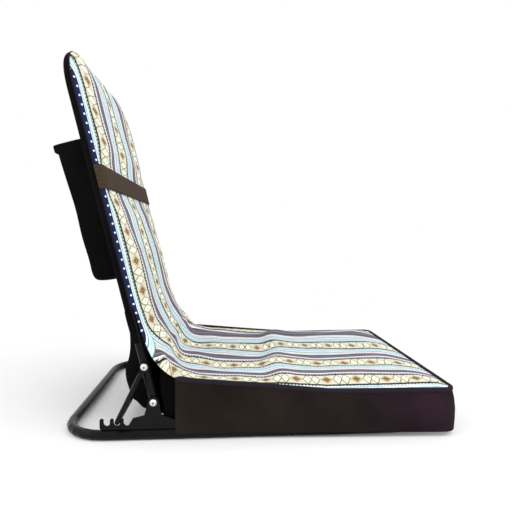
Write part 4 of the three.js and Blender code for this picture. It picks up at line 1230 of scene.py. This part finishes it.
lap = math.asin(SEAM_OFFSET / CLOTH_RADIUS)
turn = np.linspace(-lap, math.pi + lap, SLEEVE_STEPS)
for label, side in (("left", 1), ("right", -1)):
    rows = []
    for up in np.linspace(SLEEVE_START, COVER_START, SLEEVE_ROWS):
        loose = SLEEVE_SLACK * np.sin(turn * SLEEVE_FOLDS + up * SLEEVE_TWIST)
        radius = CLOTH_RADIUS + loose - SLEEVE_SLACK
        rows.append(on_back(side * BACK_HALF + side * radius * np.cos(turn), up,
                            radius * np.sin(turn)))
    rows = np.array(rows)
    sleeve = skin(f"sleeve_{label}", rows if side < 0 else rows[:, ::-1], rear_cloth_painted_shade)
    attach(sleeve, "backrest")
    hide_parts(f"tube_sleeve_{label}")
print("The sleeves are", round((COVER_START - SLEEVE_START) / MM, 1), "mm long")

# %% Seam cord of the back
BACK_CORD = 1.3 * MM

seam_reach = TUBE_RADIUS + GAP + BACK_CORD
seam_out = math.sqrt(seam_reach ** 2 - SEAM_OFFSET ** 2)
seam_half = BACK_HALF + seam_out
back_line = round_run(
    [(-seam_half, COVER_START), (-seam_half, BACK_TOP + seam_out), (seam_half, BACK_TOP + seam_out),
     (seam_half, COVER_START)], BACK_CORNER + seam_out, BAND_STEP)
seam_cord("back_seam_cord", on_back(back_line[:, 0], back_line[:, 1], -SEAM_OFFSET), BACK_CORD,
          cord_cloth, "backrest", "back_piping")
print("The back's seam is", round(float(running_length(back_line)[-1]), 3), "m long")

# %% [markdown]
# ## Strap and pocket
# A ribbed elastic strap crosses the front of the back, from one side seam to the other, to hold a
# cushion. It bridges the crown and its two edges curl a little. The pocket on the rear is a black
# pouch with soft edges that stands open at the top, where a bound hem keeps its shape. It is a
# curved shell with a thickness, and not a closed box, so one can look into it from above.

# %% Strap
STRAP_THICK = 1.5 * MM
STRAP_TURNS = 14
STRAP_FROM = math.radians(10)
STRAP_STEPS = 22
STRAP_ROWS = 7
STRAP_LIFT = 0.6 * MM
STRAP_CURL = 0.5 * MM
strap_radius = TUBE_RADIUS + GAP + 2 * BACK_CORD + GAP + STRAP_THICK

wrap = np.linspace(STRAP_FROM, math.pi / 2, STRAP_TURNS)
wrap_x = BACK_HALF + strap_radius * np.cos(wrap)
open_x = BACK_HALF * np.linspace(1, 0, STRAP_STEPS)[1:]
strap_rows = []
for up in np.linspace(STRAP_LOW, STRAP_HIGH, STRAP_ROWS):
    share = (up - STRAP_LOW) / (STRAP_HIGH - STRAP_LOW)
    curl = STRAP_CURL * math.sin(math.pi * share)
    pressed = STRAP_PRESS * smooth(BACK_HALF - open_x, 0, STRAP_HIGH - STRAP_LOW)
    face = back_standoff(open_x, up, BACK_CROWN) - pressed + STRAP_LIFT + STRAP_THICK
    face = np.maximum(face, strap_radius)
    half_x = np.concatenate([wrap_x, open_x])
    half_y = np.concatenate([-strap_radius * np.sin(wrap), -face - curl])
    strap_rows.append(on_back(np.concatenate([-half_x, half_x[-2::-1]]), up,
                              np.concatenate([half_y, half_y[-2::-1]])))
strap = skin("elastic_strap_cloth", np.array(strap_rows), elastic, thickness=STRAP_THICK)
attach(strap, "backrest")
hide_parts("elastic_strap")

# %% Pocket
POCKET_HALF = 172 * MM
POCKET_LOW = 199 * MM
POCKET_MOUTH = 420 * MM
POCKET_DEPTH = 46 * MM
POCKET_SAG = 0.5 * MM
POCKET_YAWN = 3 * MM
POCKET_CORNER = 30 * MM
POCKET_EDGE = 8 * MM
POCKET_WAVES = (
    (0.16, 0.5, 0.5, 0.7), (-0.1, 0.13, 0.4, 2.0), (0.23, -0.09, 0.4, 0.2),
)
POCKET_SOFT = 1.6 * MM
POCKET_CALM_FROM = 150 * MM
POCKET_CALM_TO = 210 * MM


def pocket_row(up, flare, soft):
    """A row across the pocket, flared outwards and softened by so much."""
    x = columns_for(half_width(up - POCKET_LOW, POCKET_HALF, POCKET_CORNER))
    inset = inset_of(x, up - POCKET_LOW, POCKET_HALF, POCKET_CORNER)
    rest = 1 - np.clip(inset / POCKET_EDGE, 0, 1)
    share = (up - POCKET_LOW) / (POCKET_MOUTH - POCKET_LOW)
    sag = POCKET_SAG * math.cos(share * math.pi * 2) + POCKET_YAWN * share ** 2
    depth = POCKET_DEPTH + sag + flare + soft * ripple(x, up, POCKET_WAVES)
    return on_back(x, up, CLOTH_RADIUS + GAP + depth * np.sqrt(1 - rest ** 2))


pouch_rows = []
for end in ends_from(POCKET_EDGE, POCKET_CORNER, POCKET_MOUTH - POCKET_LOW):
    calm = smooth(end, 0, CALM_EDGE) * (1 - smooth(end, POCKET_CALM_FROM, POCKET_CALM_TO))
    pouch_rows.append(pocket_row(POCKET_LOW + end, 0, POCKET_SOFT * calm))
pouch = skin("pocket_cloth", np.array(pouch_rows)[:, ::-1], rear_cloth_painted_shade)
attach(pouch, "backrest")
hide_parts("pocket_pouch")
print("The pocket is", round(POCKET_DEPTH / MM), "mm deep")

# %% Hem of the pocket
HEM_HEIGHT = 13 * MM
HEM_FLARE = 5 * MM
HEM_THICK = 2.2 * MM
HEM_ROWS = (
    (-0.1, 2.2), (0.05, 0.4), (0.1, 0), (0.5, 0), (0.92, 0), (1, 0.5), (0.92, 1), (0.1, 1),
)

hem_rows = [pocket_row(POCKET_MOUTH + HEM_HEIGHT * rise, HEM_FLARE - HEM_THICK * inner, 0)
            for rise, inner in HEM_ROWS]
hem = skin("pocket_hem_binding", np.array(hem_rows)[:, ::-1], rear_cloth_painted_shade, thickness=0)
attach(hem, "backrest")
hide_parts("pocket_hem")
print("The hem is", round(HEM_HEIGHT / MM), "mm high")

# %% [markdown]
# ## Metal that stays
# The tubes, plates, stay and rivets already have their true shapes, so they only get their finish
# and smooth shading. A smooth plate would look swollen at its rim, so the shading is split wherever
# two faces meet at more than 38 degrees.

# %% Finish on the solid pieces
SHARP_EDGE = math.radians(38)
PAINTED = ("base_frame", "seat_crossbar", "rack_plate", "pivot_washer", "back_frame",
           "back_crossbar", "stay_rod")

for name, node in frame["nodes"].items():
    if name.startswith("pivot_rivet"):
        kind = bright
    elif name.startswith("stay_rivet"):
        kind = bright_top
    elif name.startswith(PAINTED):
        kind = paint
    else:
        continue
    for slot in node.material_slots:
        slot.material = kind
    node.data.shade_smooth()
    node.modifiers.new("sharp_edges", "EDGE_SPLIT").split_angle = SHARP_EDGE
    print("Finished", name)
